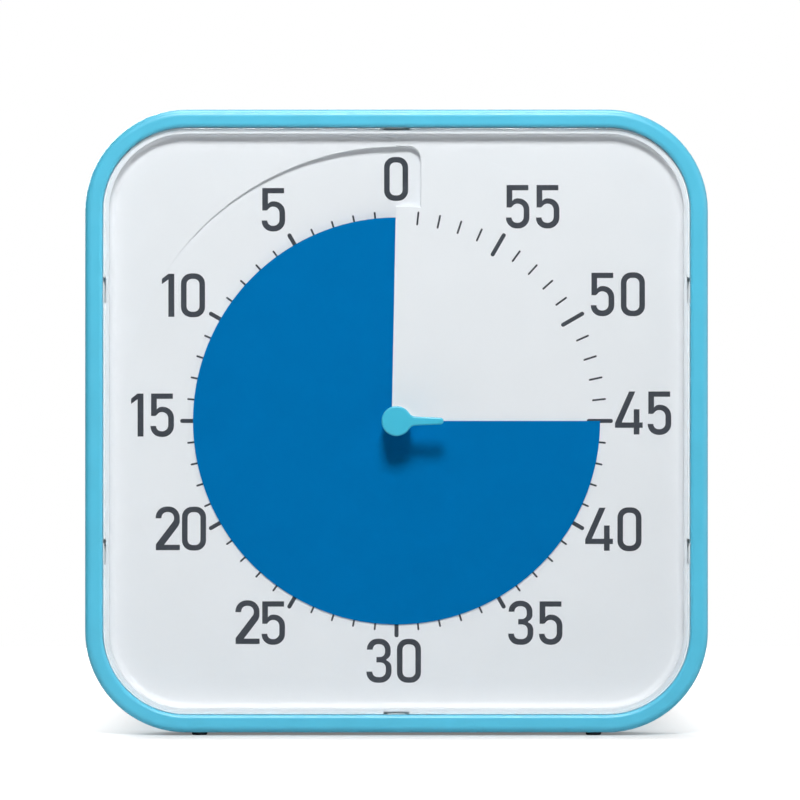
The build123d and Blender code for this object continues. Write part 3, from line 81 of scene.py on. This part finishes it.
# Along the battery, from its minus end: where the sleeve, the band round the plus end and the
# bare end begin
SLEEVE_START, BAND_START, SLEEVE_END = 0.01, 0.70, 0.968

GRAIN_CELL = 0.35                    # of moulded plastic, in millimetres
BANDS_SCALE = 1200.0                 # of a winding: the wires lie about 0.26 mm apart
TRACK_CELL = 3.2                     # between a board's copper tracks, in millimetres


class Nodes:
    """Makes and joins the nodes of one material or world."""

    def __init__(self, tree):
        self.tree = tree

    def node(self, kind, **settings):
        """A new node with these settings."""
        made = self.tree.nodes.new(kind)
        for key, value in settings.items():
            setattr(made, key, value)
        return made

    def feed(self, socket, value):
        """Sets a socket to a value, or joins the output of another node to it."""
        if isinstance(value, bpy.types.NodeSocket):
            self.tree.links.new(value, socket)
        else:
            socket.default_value = value

    def output(self, kind, name, inputs, **settings):
        """The named output of a new node with these inputs."""
        made = self.node(kind, **settings)
        for key, value in inputs.items():
            self.feed(made.inputs[key], value)
        return made.outputs[name]

    def math(self, operation, *values):
        inputs = dict(enumerate(values))
        return self.output("ShaderNodeMath", "Value", inputs, operation=operation)

    def vector(self, operation, *values):
        name = "Value" if operation == "LENGTH" else "Vector"
        inputs = dict(enumerate(values))
        return self.output("ShaderNodeVectorMath", name, inputs, operation=operation)

    def split(self, vector):
        """Outputs X, Y and Z of a vector."""
        made = self.node("ShaderNodeSeparateXYZ")
        self.feed(made.inputs["Vector"], vector)
        return made.outputs

    def rescale(self, value, start, end, low=0.0, high=1.0, interpolation="LINEAR"):
        """From low to high as the value goes from start to end, and no further."""
        inputs = {"Value": value, "From Min": start, "From Max": end, "To Min": low, "To Max": high}
        return self.output("ShaderNodeMapRange", "Result", inputs, interpolation_type=interpolation)

    def mix(self, share, first, second, data_type="FLOAT"):
        inputs = {"Factor": share, "A": first, "B": second}
        return self.output("ShaderNodeMix", "Result", inputs, data_type=data_type)

    def mix_shaders(self, share, first, second):
        return self.output("ShaderNodeMixShader", "Shader", {0: share, 1: first, 2: second})

    def colour_ramp(self, value, stops, interpolation="LINEAR"):
        """Colour at a value along a ramp, given as stops (position, colour) in rising order."""
        made = self.node("ShaderNodeValToRGB")
        made.color_ramp.interpolation = interpolation
        elements = made.color_ramp.elements
        for number, (position, colour) in enumerate(stops):
            stop = elements[number] if number < 2 else elements.new(position)
            stop.position = position
            stop.color = (*colour, 1)
        self.feed(made.inputs["Fac"], value)
        return made.outputs["Color"]


class Finish(Nodes):
    """A procedural material on one Principled shader."""

    def __init__(self, name, roughness=0.5, metallic=0.0, ior=1.46):
        self.material = bpy.data.materials.new(name)
        self.material.use_nodes = True
        super().__init__(self.material.node_tree)
        self.shader = self.tree.nodes["Principled BSDF"]
        self.set("Roughness", roughness)
        self.set("Metallic", metallic)
        self.set("IOR", ior)
        self.place = self.node("ShaderNodeTexCoord").outputs["Object"]

    def set(self, name, value):
        """Sets or feeds one of the shader's own sockets."""
        self.feed(self.shader.inputs[name], value)

    def show(self, look):
        """Puts a shader on the material's output."""
        self.feed(self.tree.nodes["Material Output"].inputs["Surface"], look)

    def noise(self, cell, detail=3.0, stretch=(1, 1, 1)):
        """Noise of the given cell size, in millimetres."""
        mapped = {"Vector": self.place, "Scale": stretch}
        vector = self.output("ShaderNodeMapping", "Vector", mapped)
        inputs = {"Vector": vector, "Scale": 1 / (cell * MM), "Detail": detail}
        return self.output("ShaderNodeTexNoise", "Fac", inputs)

    def colour(self, value, low, high):
        """Colours the surface between two colours by a noise."""
        self.set("Base Color", self.colour_ramp(value, [(NOISE_LOW, low), (NOISE_HIGH, high)]))

    def gloss(self, value, low, high):
        """Varies the roughness between two numbers by a noise."""
        self.set("Roughness", self.rescale(value, NOISE_LOW, NOISE_HIGH, low, high))

    def bump(self, height, depth):
        """Bumps of the given depth, in millimetres."""
        inputs = {"Distance": depth * MM, "Height": height}
        self.set("Normal", self.output("ShaderNodeBump", "Normal", inputs))

    def flatten_face(self):
        """Keeps faces square to Y exactly flat, so that nothing behind them looks wavy."""
        geometry = self.node("ShaderNodeNewGeometry").outputs
        along_y = self.math("ABSOLUTE", self.split(geometry["True Normal"])["Y"])
        square = self.math("GREATER_THAN", along_y, SQUARE_TO_Y)
        normal = self.mix(square, geometry["Normal"], geometry["True Normal"], data_type="VECTOR")
        self.set("Normal", normal)

    def frost_edges(self):
        """Makes the lens's legs and tabs milky, and a narrow strip along its pane's rear edge."""
        # The rim is where the distance from a smaller square, with its corners at the centres of
        # the lens's corners, is nearly the corner radius. Taking off a metre keeps Y out of it.
        straight = LENS_HALF - LENS_CORNER_R
        out = self.vector("ABSOLUTE", self.vector("SUBTRACT", self.place, (AXIS_X, 0, AXIS_Z)))
        past = self.vector("SUBTRACT", out, (straight, 1, straight))
        away = self.vector("LENGTH", self.vector("MAXIMUM", past, (0, 0, 0)))
        rim = self.math("GREATER_THAN", away, LENS_CORNER_R - LENS_RIM)
        pane_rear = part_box("lens")[0].y + PANE_T
        behind = self.math("GREATER_THAN", self.split(self.place)["Y"], pane_rear - REAR_STRIP)
        milky = self.math("MULTIPLY", rim, behind)
        self.set("Transmission Weight", self.rescale(milky, 0.0, 1.0, 1.0, EDGE_CLEARNESS))


def linear(red, green, blue):
    """Linear colour of an sRGB colour given from 0 to 255."""
    def one(value):
        value /= 255
        return value / 12.92 if value <= 0.04045 else ((value + 0.055) / 1.055) ** 2.4
    return tuple(one(value) for value in (red, green, blue))


def shade(colour, factor):
    return tuple(min(1.0, part * factor) for part in colour)


def moulded_plastic(name, colour, roughness, depth=0.012, spread=0.03, tint=(1, 1, 1)):
    """Moulded plastic with a fine grain, slow waves of gloss and a faint mottle of colour.

    The depth is the grain's, in millimetres, and the spread is how far the colour strays.
    """
    finish = Finish(name, roughness)
    finish.set("Specular Tint", (*tint, 1))
    mottle = finish.noise(cell=18.0, detail=4.0)
    finish.colour(mottle, shade(colour, 1 - spread), shade(colour, 1 + spread))
    finish.gloss(finish.noise(cell=6.0, detail=5.0), low=roughness - 0.05, high=roughness + 0.06)
    finish.bump(finish.noise(GRAIN_CELL, detail=2.0), depth)
    return finish.material


def metal(name, colour, roughness, stretch=(1, 1, 1)):
    """Bare or plated metal with fine tool marks, which can be stretched along an axis."""
    finish = Finish(name, roughness, metallic=1.0)
    finish.colour(finish.noise(cell=3.0, detail=4.0), shade(colour, 0.9), shade(colour, 1.06))
    marks = finish.noise(cell=0.5, stretch=stretch)
    finish.gloss(marks, low=roughness - 0.08, high=roughness + 0.1)
    finish.bump(marks, depth=0.004)
    return finish.material


def clear_acrylic(name):
    """Clear moulded acrylic that lets the lamps through to what is behind it."""
    finish = Finish(name, LENS_ROUGHNESS, ior=BODY_IOR)
    finish.set("Coat Weight", 1.0)
    finish.set("Coat IOR", COAT_IOR)
    finish.set("Coat Roughness", LENS_ROUGHNESS)
    finish.flatten_face()
    mottle = finish.noise(cell=40.0, detail=2.0)
    finish.colour(mottle, low=(0.985, 0.992, 0.992), high=(0.995, 1.0, 1.0))
    finish.frost_edges()
    clear = finish.output("ShaderNodeBsdfTransparent", "BSDF", {"Color": LENS_SHADOW})
    path = finish.node("ShaderNodeLightPath").outputs
    lit = finish.math("MAXIMUM", path["Is Shadow Ray"], path["Is Diffuse Ray"])
    finish.show(finish.mix_shaders(lit, finish.shader.outputs["BSDF"], clear))
    return finish.material


def battery_sleeve(name, colour, end_colour):
    """Sleeve of a battery, with a band of another colour round its plus end, and bare ends."""
    finish = Finish(name, 0.25)
    low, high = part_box("aa_battery")
    along = finish.rescale(finish.split(finish.place)["X"], low.x, high.x)
    bands = [(0.0, BARE_STEEL), (SLEEVE_START, colour), (BAND_START, end_colour),
             (SLEEVE_END, BARE_STEEL)]
    finish.set("Base Color", finish.colour_ramp(along, bands, "CONSTANT"))
    finish.gloss(finish.noise(cell=4.0, detail=4.0), low=0.27, high=0.32)
    finish.bump(finish.noise(cell=3.0, detail=2.0), depth=0.01)
    return finish.material


def rubber(name, colour):
    finish = Finish(name, 0.75)
    finish.colour(finish.noise(cell=2.0, detail=4.0), shade(colour, 0.8), shade(colour, 1.25))
    finish.bump(finish.noise(cell=0.25), depth=0.03)
    return finish.material


def winding(name, colour):
    """Enamelled wire wound in close turns along Z, with painted shade in the grooves between the
    turns and a lighter tone on their crests.
    """
    finish = Finish(name, 0.3, metallic=0.85)
    inputs = {"Vector": finish.place, "Scale": BANDS_SCALE, "Distortion": 0.6}
    wires_and_painted_shade = finish.output(
        "ShaderNodeTexWave", "Fac", inputs, wave_type="BANDS", bands_direction="Z")
    # Painted shade: the colour darkens in the grooves between the turns and lightens on their
    # crests, following the bump.
    finish.colour(wires_and_painted_shade, shade(colour, 0.55), shade(colour, 1.1))
    finish.bump(wires_and_painted_shade, depth=0.05)
    return finish.material


def circuit_lacquer(name, colour):
    """Lacquered board with paler copper tracks under the lacquer."""
    finish = Finish(name, 0.3)
    inputs = {"Vector": finish.place, "Scale": 1 / (TRACK_CELL * MM)}
    tracks = finish.output("ShaderNodeTexVoronoi", "Distance", inputs,
                           feature="DISTANCE_TO_EDGE", distance="MANHATTAN")
    finish.colour(tracks, shade(colour, 1.9), colour)
    finish.bump(finish.noise(cell=0.8, detail=2.0), depth=0.01)
    return finish.material


FRAME_BLUE = linear(84, 191, 222)
KNOB_BLUE = linear(64, 184, 213)
DIAL_WHITE = linear(238, 240, 244)
DISK_BLUE = linear(0, 108, 176)
PRINT_GREY = linear(46, 51, 60)
BARE_STEEL = linear(176, 178, 182)

MATERIALS = {
    "frame_blue": moulded_plastic("frame_blue", FRAME_BLUE, 0.36),
    "lens_clear": clear_acrylic("lens_clear"),
    "dial_white": moulded_plastic("dial_white", DIAL_WHITE, 0.55, depth=0.0012, spread=0.008),
    "dial_print": moulded_plastic("dial_print", PRINT_GREY, 0.6, spread=0.06),
    "disk_blue": moulded_plastic(
        "disk_blue", DISK_BLUE, 0.5, depth=0.006, spread=0.02, tint=(0, 0.7, 1)),
    "knob_blue": moulded_plastic("knob_blue", KNOB_BLUE, 0.36),
    "foot_rubber": rubber("foot_rubber", linear(40, 44, 50)),
    "screw_steel": metal("screw_steel", linear(190, 192, 196), 0.32),
    "shaft_steel": metal("shaft_steel", linear(200, 202, 205), 0.22, stretch=(1, 0.1, 1)),
    "spring_steel": metal("spring_steel", BARE_STEEL, 0.35, stretch=(1, 1, 0.1)),
    "housing_grey": moulded_plastic("housing_grey", linear(60, 63, 68), 0.5, depth=0.02),
    "gear_white": moulded_plastic("gear_white", linear(232, 231, 222), 0.45),
    "magnet_grey": moulded_plastic("magnet_grey", linear(74, 74, 80), 0.6, spread=0.1),
    "yoke_steel": metal("yoke_steel", linear(150, 152, 156), 0.4),
    "coil_copper": winding("coil_copper", linear(196, 108, 62)),
    "board_green": circuit_lacquer("board_green", linear(24, 92, 54)),
    "can_metal": metal("can_metal", linear(214, 215, 218), 0.2),
    "buzzer_black": moulded_plastic("buzzer_black", linear(28, 28, 31), 0.3, spread=0.1),
    "battery_can": battery_sleeve("battery_can", linear(96, 104, 116), linear(206, 209, 213)),
}


def dress_nodes():
    """Gives every CAD node the finish of its slot in the record."""
    for part in frame["record"]["subparts"]:
        for slot in NODES[part["node"]].material_slots:
            slot.material = MATERIALS[part["material_slot"]]


# ---------------------------------------------------------------- dial print

# All in millimetres on the dial
PRINT_PROUD = 0.05             # how far the ink's front stands off the dial
PRINT_SUNK = 0.03              # and how deep its back lies in it
CAP_STEP = 0.9                 # longest edge of a printed outline
SAME_POINT = 0.001             # points of an outline nearer than this are one
TICK_IN, TICK_OUT, TICK_WIDTH = 96.4, 103.2, 0.95
LONG_TICK_IN, LONG_TICK_OUT, LONG_TICK_WIDTH = 93.3, 106.1, 2.0
TICK_ROUNDING = 0.48           # radius of a tick's corners, as a share of its width
MINUTES = 60
LONG_TICK_EVERY = 5

# Outlines of the numerals, as corners (x, y, radius) from the baseline at the digit's left
DIGITS = {
    "0": [[(0, -0.2, 5.0), (11.8, -0.2, 5.0), (11.8, 21.3, 5.0), (0, 21.3, 5.0)],
          [(2.75, 2.5, 2.6), (9.05, 2.5, 2.6), (9.05, 18.6, 2.6), (2.75, 18.6, 2.6)]],
    "1": [[(3.2, 0, 0), (6.1, 0, 0), (6.1, 21.1, 0), (3.2, 21.1, 0), (0, 18.6, 0), (0, 16.0, 0),
           (3.2, 18.3, 0)]],
    "2": [[(0.1, 15.6, 0), (0.1, 21.4, 5.4), (11.9, 21.4, 5.4), (11.9, 12.7, 5.0), (4.3, 2.65, 0),
           (12.0, 2.65, 0), (12.0, 0, 0), (0.2, 0, 0), (0.2, 2.9, 0), (9.1, 14.6, 2.4),
           (9.1, 18.7, 2.8), (2.95, 18.7, 2.8), (2.95, 15.6, 0)]],
    "3": [[(0.2, 16.0, 0), (0.2, 21.4, 5.2), (11.9, 21.4, 5.4), (11.9, 12.3, 3.6),
           (9.2, 11.0, 0.4), (12.3, 9.7, 3.6), (12.3, -0.2, 5.4), (0, -0.2, 5.2), (0, 5.3, 0),
           (2.85, 5.3, 0), (2.85, 2.6, 2.6), (9.5, 2.6, 2.8), (9.5, 9.75, 2.6), (4.9, 9.75, 0),
           (4.9, 12.4, 0), (9.1, 12.4, 2.4), (9.1, 18.7, 2.7), (3.1, 18.7, 2.6), (3.1, 16.0, 0)]],
    "4": [[(9.2, 0, 0), (12.0, 0, 0), (12.0, 3.3, 0), (13.6, 3.3, 0), (13.6, 5.9, 0),
           (12.0, 5.9, 0), (12.0, 12.4, 0), (9.2, 12.4, 0), (9.2, 5.9, 0), (3.3, 5.9, 0),
           (10.0, 21.1, 0), (6.9, 21.1, 0), (0, 5.6, 0), (0, 3.3, 0), (9.2, 3.3, 0)]],
    "5": [[(0.3, 21.1, 0), (0.3, 10.1, 0), (2.6, 10.1, 0), (4.4, 12.0, 2.6), (8.7, 12.0, 3.0),
           (8.7, 2.6, 2.9), (2.75, 2.6, 2.6), (2.75, 5.2, 0), (0, 5.2, 0), (0, -0.2, 5.2),
           (11.5, -0.2, 5.4), (11.5, 14.6, 5.4), (4.3, 14.6, 3.0), (3.1, 13.3, 0), (3.1, 18.5, 0),
           (11.0, 18.5, 0), (11.0, 21.1, 0)]],
}
CAP_HEIGHT = 21.1
# Every digit with its centre, counted from the dial's axis
NUMERALS = [
    ("0", -0.2, 118.8), ("5", -60.4, 103.7), ("1", -112.0, 61.6), ("0", -99.8, 61.6),
    ("1", -127.1, 2.9), ("5", -114.9, 2.9), ("2", -112.2, -52.8), ("0", -99.3, -52.8),
    ("2", -73.1, -98.8), ("5", -60.4, -99.0), ("3", -8.6, -117.6), ("0", 6.1, -117.6),
    ("3", 60.9, -99.0), ("5", 75.6, -99.0), ("4", 99.3, -53.1), ("0", 114.2, -53.1),
    ("4", 113.9, 3.9), ("5", 128.9, 3.9), ("5", 101.0, 62.1), ("0", 115.9, 62.1),
    ("5", 59.4, 105.1), ("5", 74.1, 105.1),
]


def rounded(corners, steps=7):
    """Polygon through the corners, each rounded with its own radius."""
    points = []
    count = len(corners)
    for i, (x, y, radius) in enumerate(corners):
        here = Vector((x, y))
        if not radius:
            points.append(here)
            continue
        back = (Vector(corners[i - 1][:2]) - here).normalized()
        ahead = (Vector(corners[(i + 1) % count][:2]) - here).normalized()
        half_angle = math.acos(max(-1.0, min(1.0, back.dot(ahead)))) / 2
        reach = radius / math.tan(half_angle)
        centre = here + (back + ahead).normalized() * radius / math.sin(half_angle)
        start = here + back * reach - centre
        turn = math.pi - 2 * half_angle
        side = 1 if start.x * (here - centre).y - start.y * (here - centre).x > 0 else -1
        for k in range(steps + 1):
            angle = side * turn * k / steps
            cos, sin = math.cos(angle), math.sin(angle)
            turned = Vector((start.x * cos - start.y * sin, start.x * sin + start.y * cos))
            points.append(centre + turned)
    return points


def divided(points, longest):
    """The closed polygon without repeated points, its edges cut to at most the given length."""
    points = [p for i, p in enumerate(points) if (p - points[i - 1]).length > SAME_POINT]
    out = []
    for i, a in enumerate(points):
        b = points[(i + 1) % len(points)]
        cuts = max(1, math.ceil((b - a).length / longest))
        out += [a.lerp(b, k / cuts) for k in range(cuts)]
    return out


class Print:
    """Thin ink shapes laid on the dial's front, gathered in one mesh."""

    def __init__(self, name):
        self.name = name
        self.points = []
        self.faces = []
        plate = NODES["dial_plate"].data
        self.plate = BVHTree.FromPolygons(
            [v.co for v in plate.vertices], [p.vertices for p in plate.polygons])

    def on_dial(self, point, proud):
        """Place on the dial's front, standing proud of it, at a point counted from its axis."""
        x, z = AXIS_X + point.x * MM, AXIS_Z + point.y * MM
        hit = self.plate.ray_cast(Vector((x, FRONT_Y, z)), Vector((0, 1, 0)))[0]
        return Vector((x, hit.y - proud * MM, z))

    def add(self, loops):
        """Adds one closed shape: an outer outline and its holes, as points on the dial."""
        loops = [divided(loop, CAP_STEP) for loop in loops]
        flat = [p for loop in loops for p in loop]
        first = len(self.points)
        count = len(flat)
        self.points += [self.on_dial(p, PRINT_PROUD) for p in flat]
        self.points += [self.on_dial(p, -PRINT_SUNK) for p in flat]
        triangles = tessellate_polygon([[p.to_3d() for p in loop] for loop in loops])
        turned = sum((flat[b] - flat[a]).cross(flat[c] - flat[a]) for a, b, c in triangles) < 0
        for a, b, c in triangles:
            if turned:
                a, c = c, a
            self.faces.append((first + a, first + b, first + c))
            self.faces.append((first + count + c, first + count + b, first + count + a))
        start = first
        for number, loop in enumerate(loops):
            area = sum(p.cross(loop[(i + 1) % len(loop)]) for i, p in enumerate(loop))
            outward = (area > 0) == (number == 0)
            for i in range(len(loop)):
                a, b = start + i, start + (i + 1) % len(loop)
                if not outward:
                    a, b = b, a
                self.faces.append((a, a + count, b + count, b))
            start += len(loop)

    def finish(self):
        """Makes the mesh an object that rides on the case."""
        mesh = bpy.data.meshes.new(self.name)
        mesh.from_pydata(self.points, [], self.faces)
        mesh.validate()
        mesh.materials.append(MATERIALS["dial_print"])
        piece = bpy.data.objects.new(self.name, mesh)
        bpy.context.scene.collection.objects.link(piece)
        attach(piece, "case")


def make_numerals():
    ink = Print("dial_numerals")
    for digit, x, z in NUMERALS:
        outer = DIGITS[digit][0]
        width = max(corner[0] for corner in outer)
        shift = Vector((x - width / 2, z - CAP_HEIGHT / 2))
        ink.add([[p + shift for p in rounded(loop)] for loop in DIGITS[digit]])
    ink.finish()


def tick_outline(angle, inner, outer, width):
    """A radial stroke with rounded ends."""
    direction = Vector((math.cos(angle), math.sin(angle)))
    side = Vector((-direction.y, direction.x)) * width / 2
    near, far = direction * inner, direction * outer
    ends = [near - side, far - side, far + side, near + side]
    return rounded([(p.x, p.y, width * TICK_ROUNDING) for p in ends], steps=5)


def make_ticks():
    """Short and long ticks, all but the one at 0, counter-clockwise from 12 o'clock."""
    ink = Print("dial_ticks")
    for minute in range(1, MINUTES):
        angle = math.pi / 2 + 2 * math.pi * minute / MINUTES
        if minute % LONG_TICK_EVERY:
            ink.add([tick_outline(angle, TICK_IN, TICK_OUT, TICK_WIDTH)])
        else:
            ink.add([tick_outline(angle, LONG_TICK_IN, LONG_TICK_OUT, LONG_TICK_WIDTH)])
    ink.finish()


# ---------------------------------------------------------------- studio

WHITE = (1, 1, 1)
FLOOR_SIZE, FLOOR_AHEAD = 1.8, 0.75      # its side, and how far it reaches in front of the timer
FLOOR_ROUGHNESS = 0.9
FLOOR_ALBEDO, FLOOR_MOTTLE = 0.6, 1.02   # and how much brighter its brightest places are
# Seen by the camera, the floor's own shading under and behind the timer gives way to a plain glow
# outside a block of this centre and half size. It does so between two distances, 1 being the
# block's sides, with the block's corners blended. The shares are the glow's, near and far.
SHADE_CENTRE, SHADE_REACH = (0.0, 0.10, 0.0), (0.11, 0.12, 1.0)
SHADE_ENDS = (0.95, 1.6)
SHADE_BLEND = 0.3
GLOW_SHARES = (0.12, 0.65)
FLOOR_GLOW = 1.6
# Reflected, the floor fades out between these distances, so that its edge doesn't show in the lens.
FLOOR_FADE = (0.15, 0.65)
# Strength of the light all round. A reflected ray's parts along Y and X go from the dark to the
# white room between these two values each.
AMBIENT = 0.025
ROOM_FRONT = (-0.99, -0.82)
ROOM_LEFT = (-0.95, 0.0)

# Lamps: name, direction from the face's centre, distance and side in metres, and power in watts
LAMPS = [
    ("key_lamp", (0.0, -0.72, 0.69), 1.6, 0.4, 25.5),
    ("side_lamp", (0.97, -0.2, 0.14), 2.0, 1.2, 8.0),
    ("back_lamp", (-0.45, 0.85, 0.4), 2.0, 1.2, 38.0),
    ("sheen_lamp", (0.0, -0.05, 1.0), 1.4, 0.8, 22.0),
]
GLOSS_ONLY = "sheen_lamp"

# Camera: level, square to the face and far away. The photograph's frame is 800 pixels wide.
PICTURE_PX = 800
FACE_PX = 623.5                # width of the timer's face
AXIS_PX = (396.5, 421.0)       # where the knob's axis lies
CAMERA_DISTANCE = 3.0          # metres
SENSOR = 36.0                  # millimetres


def make_floor():
    """White floor that goes out to white far away and keeps the timer's shadow."""
    centre_y = FLOOR_SIZE / 2 - FLOOR_AHEAD
    bpy.ops.mesh.primitive_plane_add(size=FLOOR_SIZE, location=(0, centre_y, 0))
    floor = bpy.context.object
    floor.name = "studio_floor"
    finish = Finish("studio_floor", FLOOR_ROUGHNESS)
    darkest, brightest = shade(WHITE, FLOOR_ALBEDO), shade(WHITE, FLOOR_ALBEDO * FLOOR_MOTTLE)
    finish.colour(finish.noise(cell=400.0), darkest, brightest)
    path = finish.node("ShaderNodeLightPath").outputs
    seen = finish.math("MAXIMUM", path["Is Camera Ray"], path["Is Transmission Ray"])

    def distance(centre, reach):
        """How far out a place is, 1 on the sides of a block of this centre and half size."""
        place = finish.node("ShaderNodeNewGeometry").outputs["Position"]
        out = finish.vector("DIVIDE", finish.vector("SUBTRACT", place, centre), reach)
        parts = finish.split(finish.vector("ABSOLUTE", out))
        return finish.math("SMOOTH_MAX", parts["X"], parts["Y"], SHADE_BLEND)

    def layer(below, ray, away, ends, shares, glow):
        """Lays a plain glow over a shader for one kind of ray, by a share that grows outwards."""
        spread = finish.rescale(away, *ends, *shares, interpolation="SMOOTHSTEP")
        inputs = {"Color": (*WHITE, 1), "Strength": glow}
        plain = finish.output("ShaderNodeEmission", "Emission", inputs)
        return finish.mix_shaders(finish.math("MULTIPLY", ray, spread), below, plain)

    look = layer(finish.shader.outputs["BSDF"], seen, distance(SHADE_CENTRE, SHADE_REACH),
                 SHADE_ENDS, GLOW_SHARES, FLOOR_GLOW)
    look = layer(look, path["Is Glossy Ray"], distance((0, 0, 0), (1, 1, 1)),
                 FLOOR_FADE, shares=(0.0, 1.0), glow=0.0)
    finish.show(look)
    floor.data.materials.append(finish.material)


def make_world():
    """Faint light all round, seen as plain white.

    Reflections meet a white room that is dark in front and darker to the left.
    """
    world = bpy.data.worlds.new("studio")
    bpy.context.scene.world = world
    world.use_nodes = True
    nodes = Nodes(world.node_tree)
    path = nodes.node("ShaderNodeLightPath").outputs
    direction = nodes.split(nodes.node("ShaderNodeTexCoord").outputs["Generated"])
    front = nodes.rescale(direction["Y"], *ROOM_FRONT, interpolation="SMOOTHSTEP")
    left = nodes.rescale(direction["X"], *ROOM_LEFT, interpolation="SMOOTHSTEP")
    mirrored = nodes.math("MAXIMUM", path["Is Glossy Ray"], path["Is Transmission Ray"])
    bounced = nodes.mix(mirrored, AMBIENT, nodes.math("MULTIPLY", front, left))
    light = world.node_tree.nodes["Background"]
    light.inputs["Color"].default_value = (*WHITE, 1)
    nodes.feed(light.inputs["Strength"], nodes.mix(path["Is Camera Ray"], bounced, 1.0))


def make_lamps():
    """Square soft lamps, aimed at the face's centre."""
    for name, direction, distance, side, watts in LAMPS:
        data = bpy.data.lights.new(name, "AREA")
        data.shape = "SQUARE"
        data.size = side
        data.energy = watts
        lamp = bpy.data.objects.new(name, data)
        bpy.context.scene.collection.objects.link(lamp)
        away = Vector(direction).normalized()
        lamp.location = Vector((AXIS_X, FRONT_Y, AXIS_Z)) + away * distance
        lamp.rotation_euler = away.to_track_quat("Z", "Y").to_euler()
        lamp.visible_diffuse = name != GLOSS_ONLY


def make_camera():
    scale = FACE_SIZE / FACE_PX
    data = bpy.data.cameras.new("camera")
    data.sensor_width = SENSOR
    data.lens = SENSOR * CAMERA_DISTANCE / (PICTURE_PX * scale)
    camera = bpy.data.objects.new("camera", data)
    bpy.context.scene.collection.objects.link(camera)
    camera.location = (
        AXIS_X + (PICTURE_PX / 2 - AXIS_PX[0]) * scale,
        FRONT_Y - CAMERA_DISTANCE,
        AXIS_Z + (AXIS_PX[1] - PICTURE_PX / 2) * scale,
    )
    camera.rotation_euler = (math.pi / 2, 0, 0)
    bpy.context.scene.camera = camera


bpy.context.scene.view_settings.view_transform = "Standard"
make_camera()
make_world()
make_lamps()
make_floor()
dress_nodes()
make_numerals()
make_ticks()
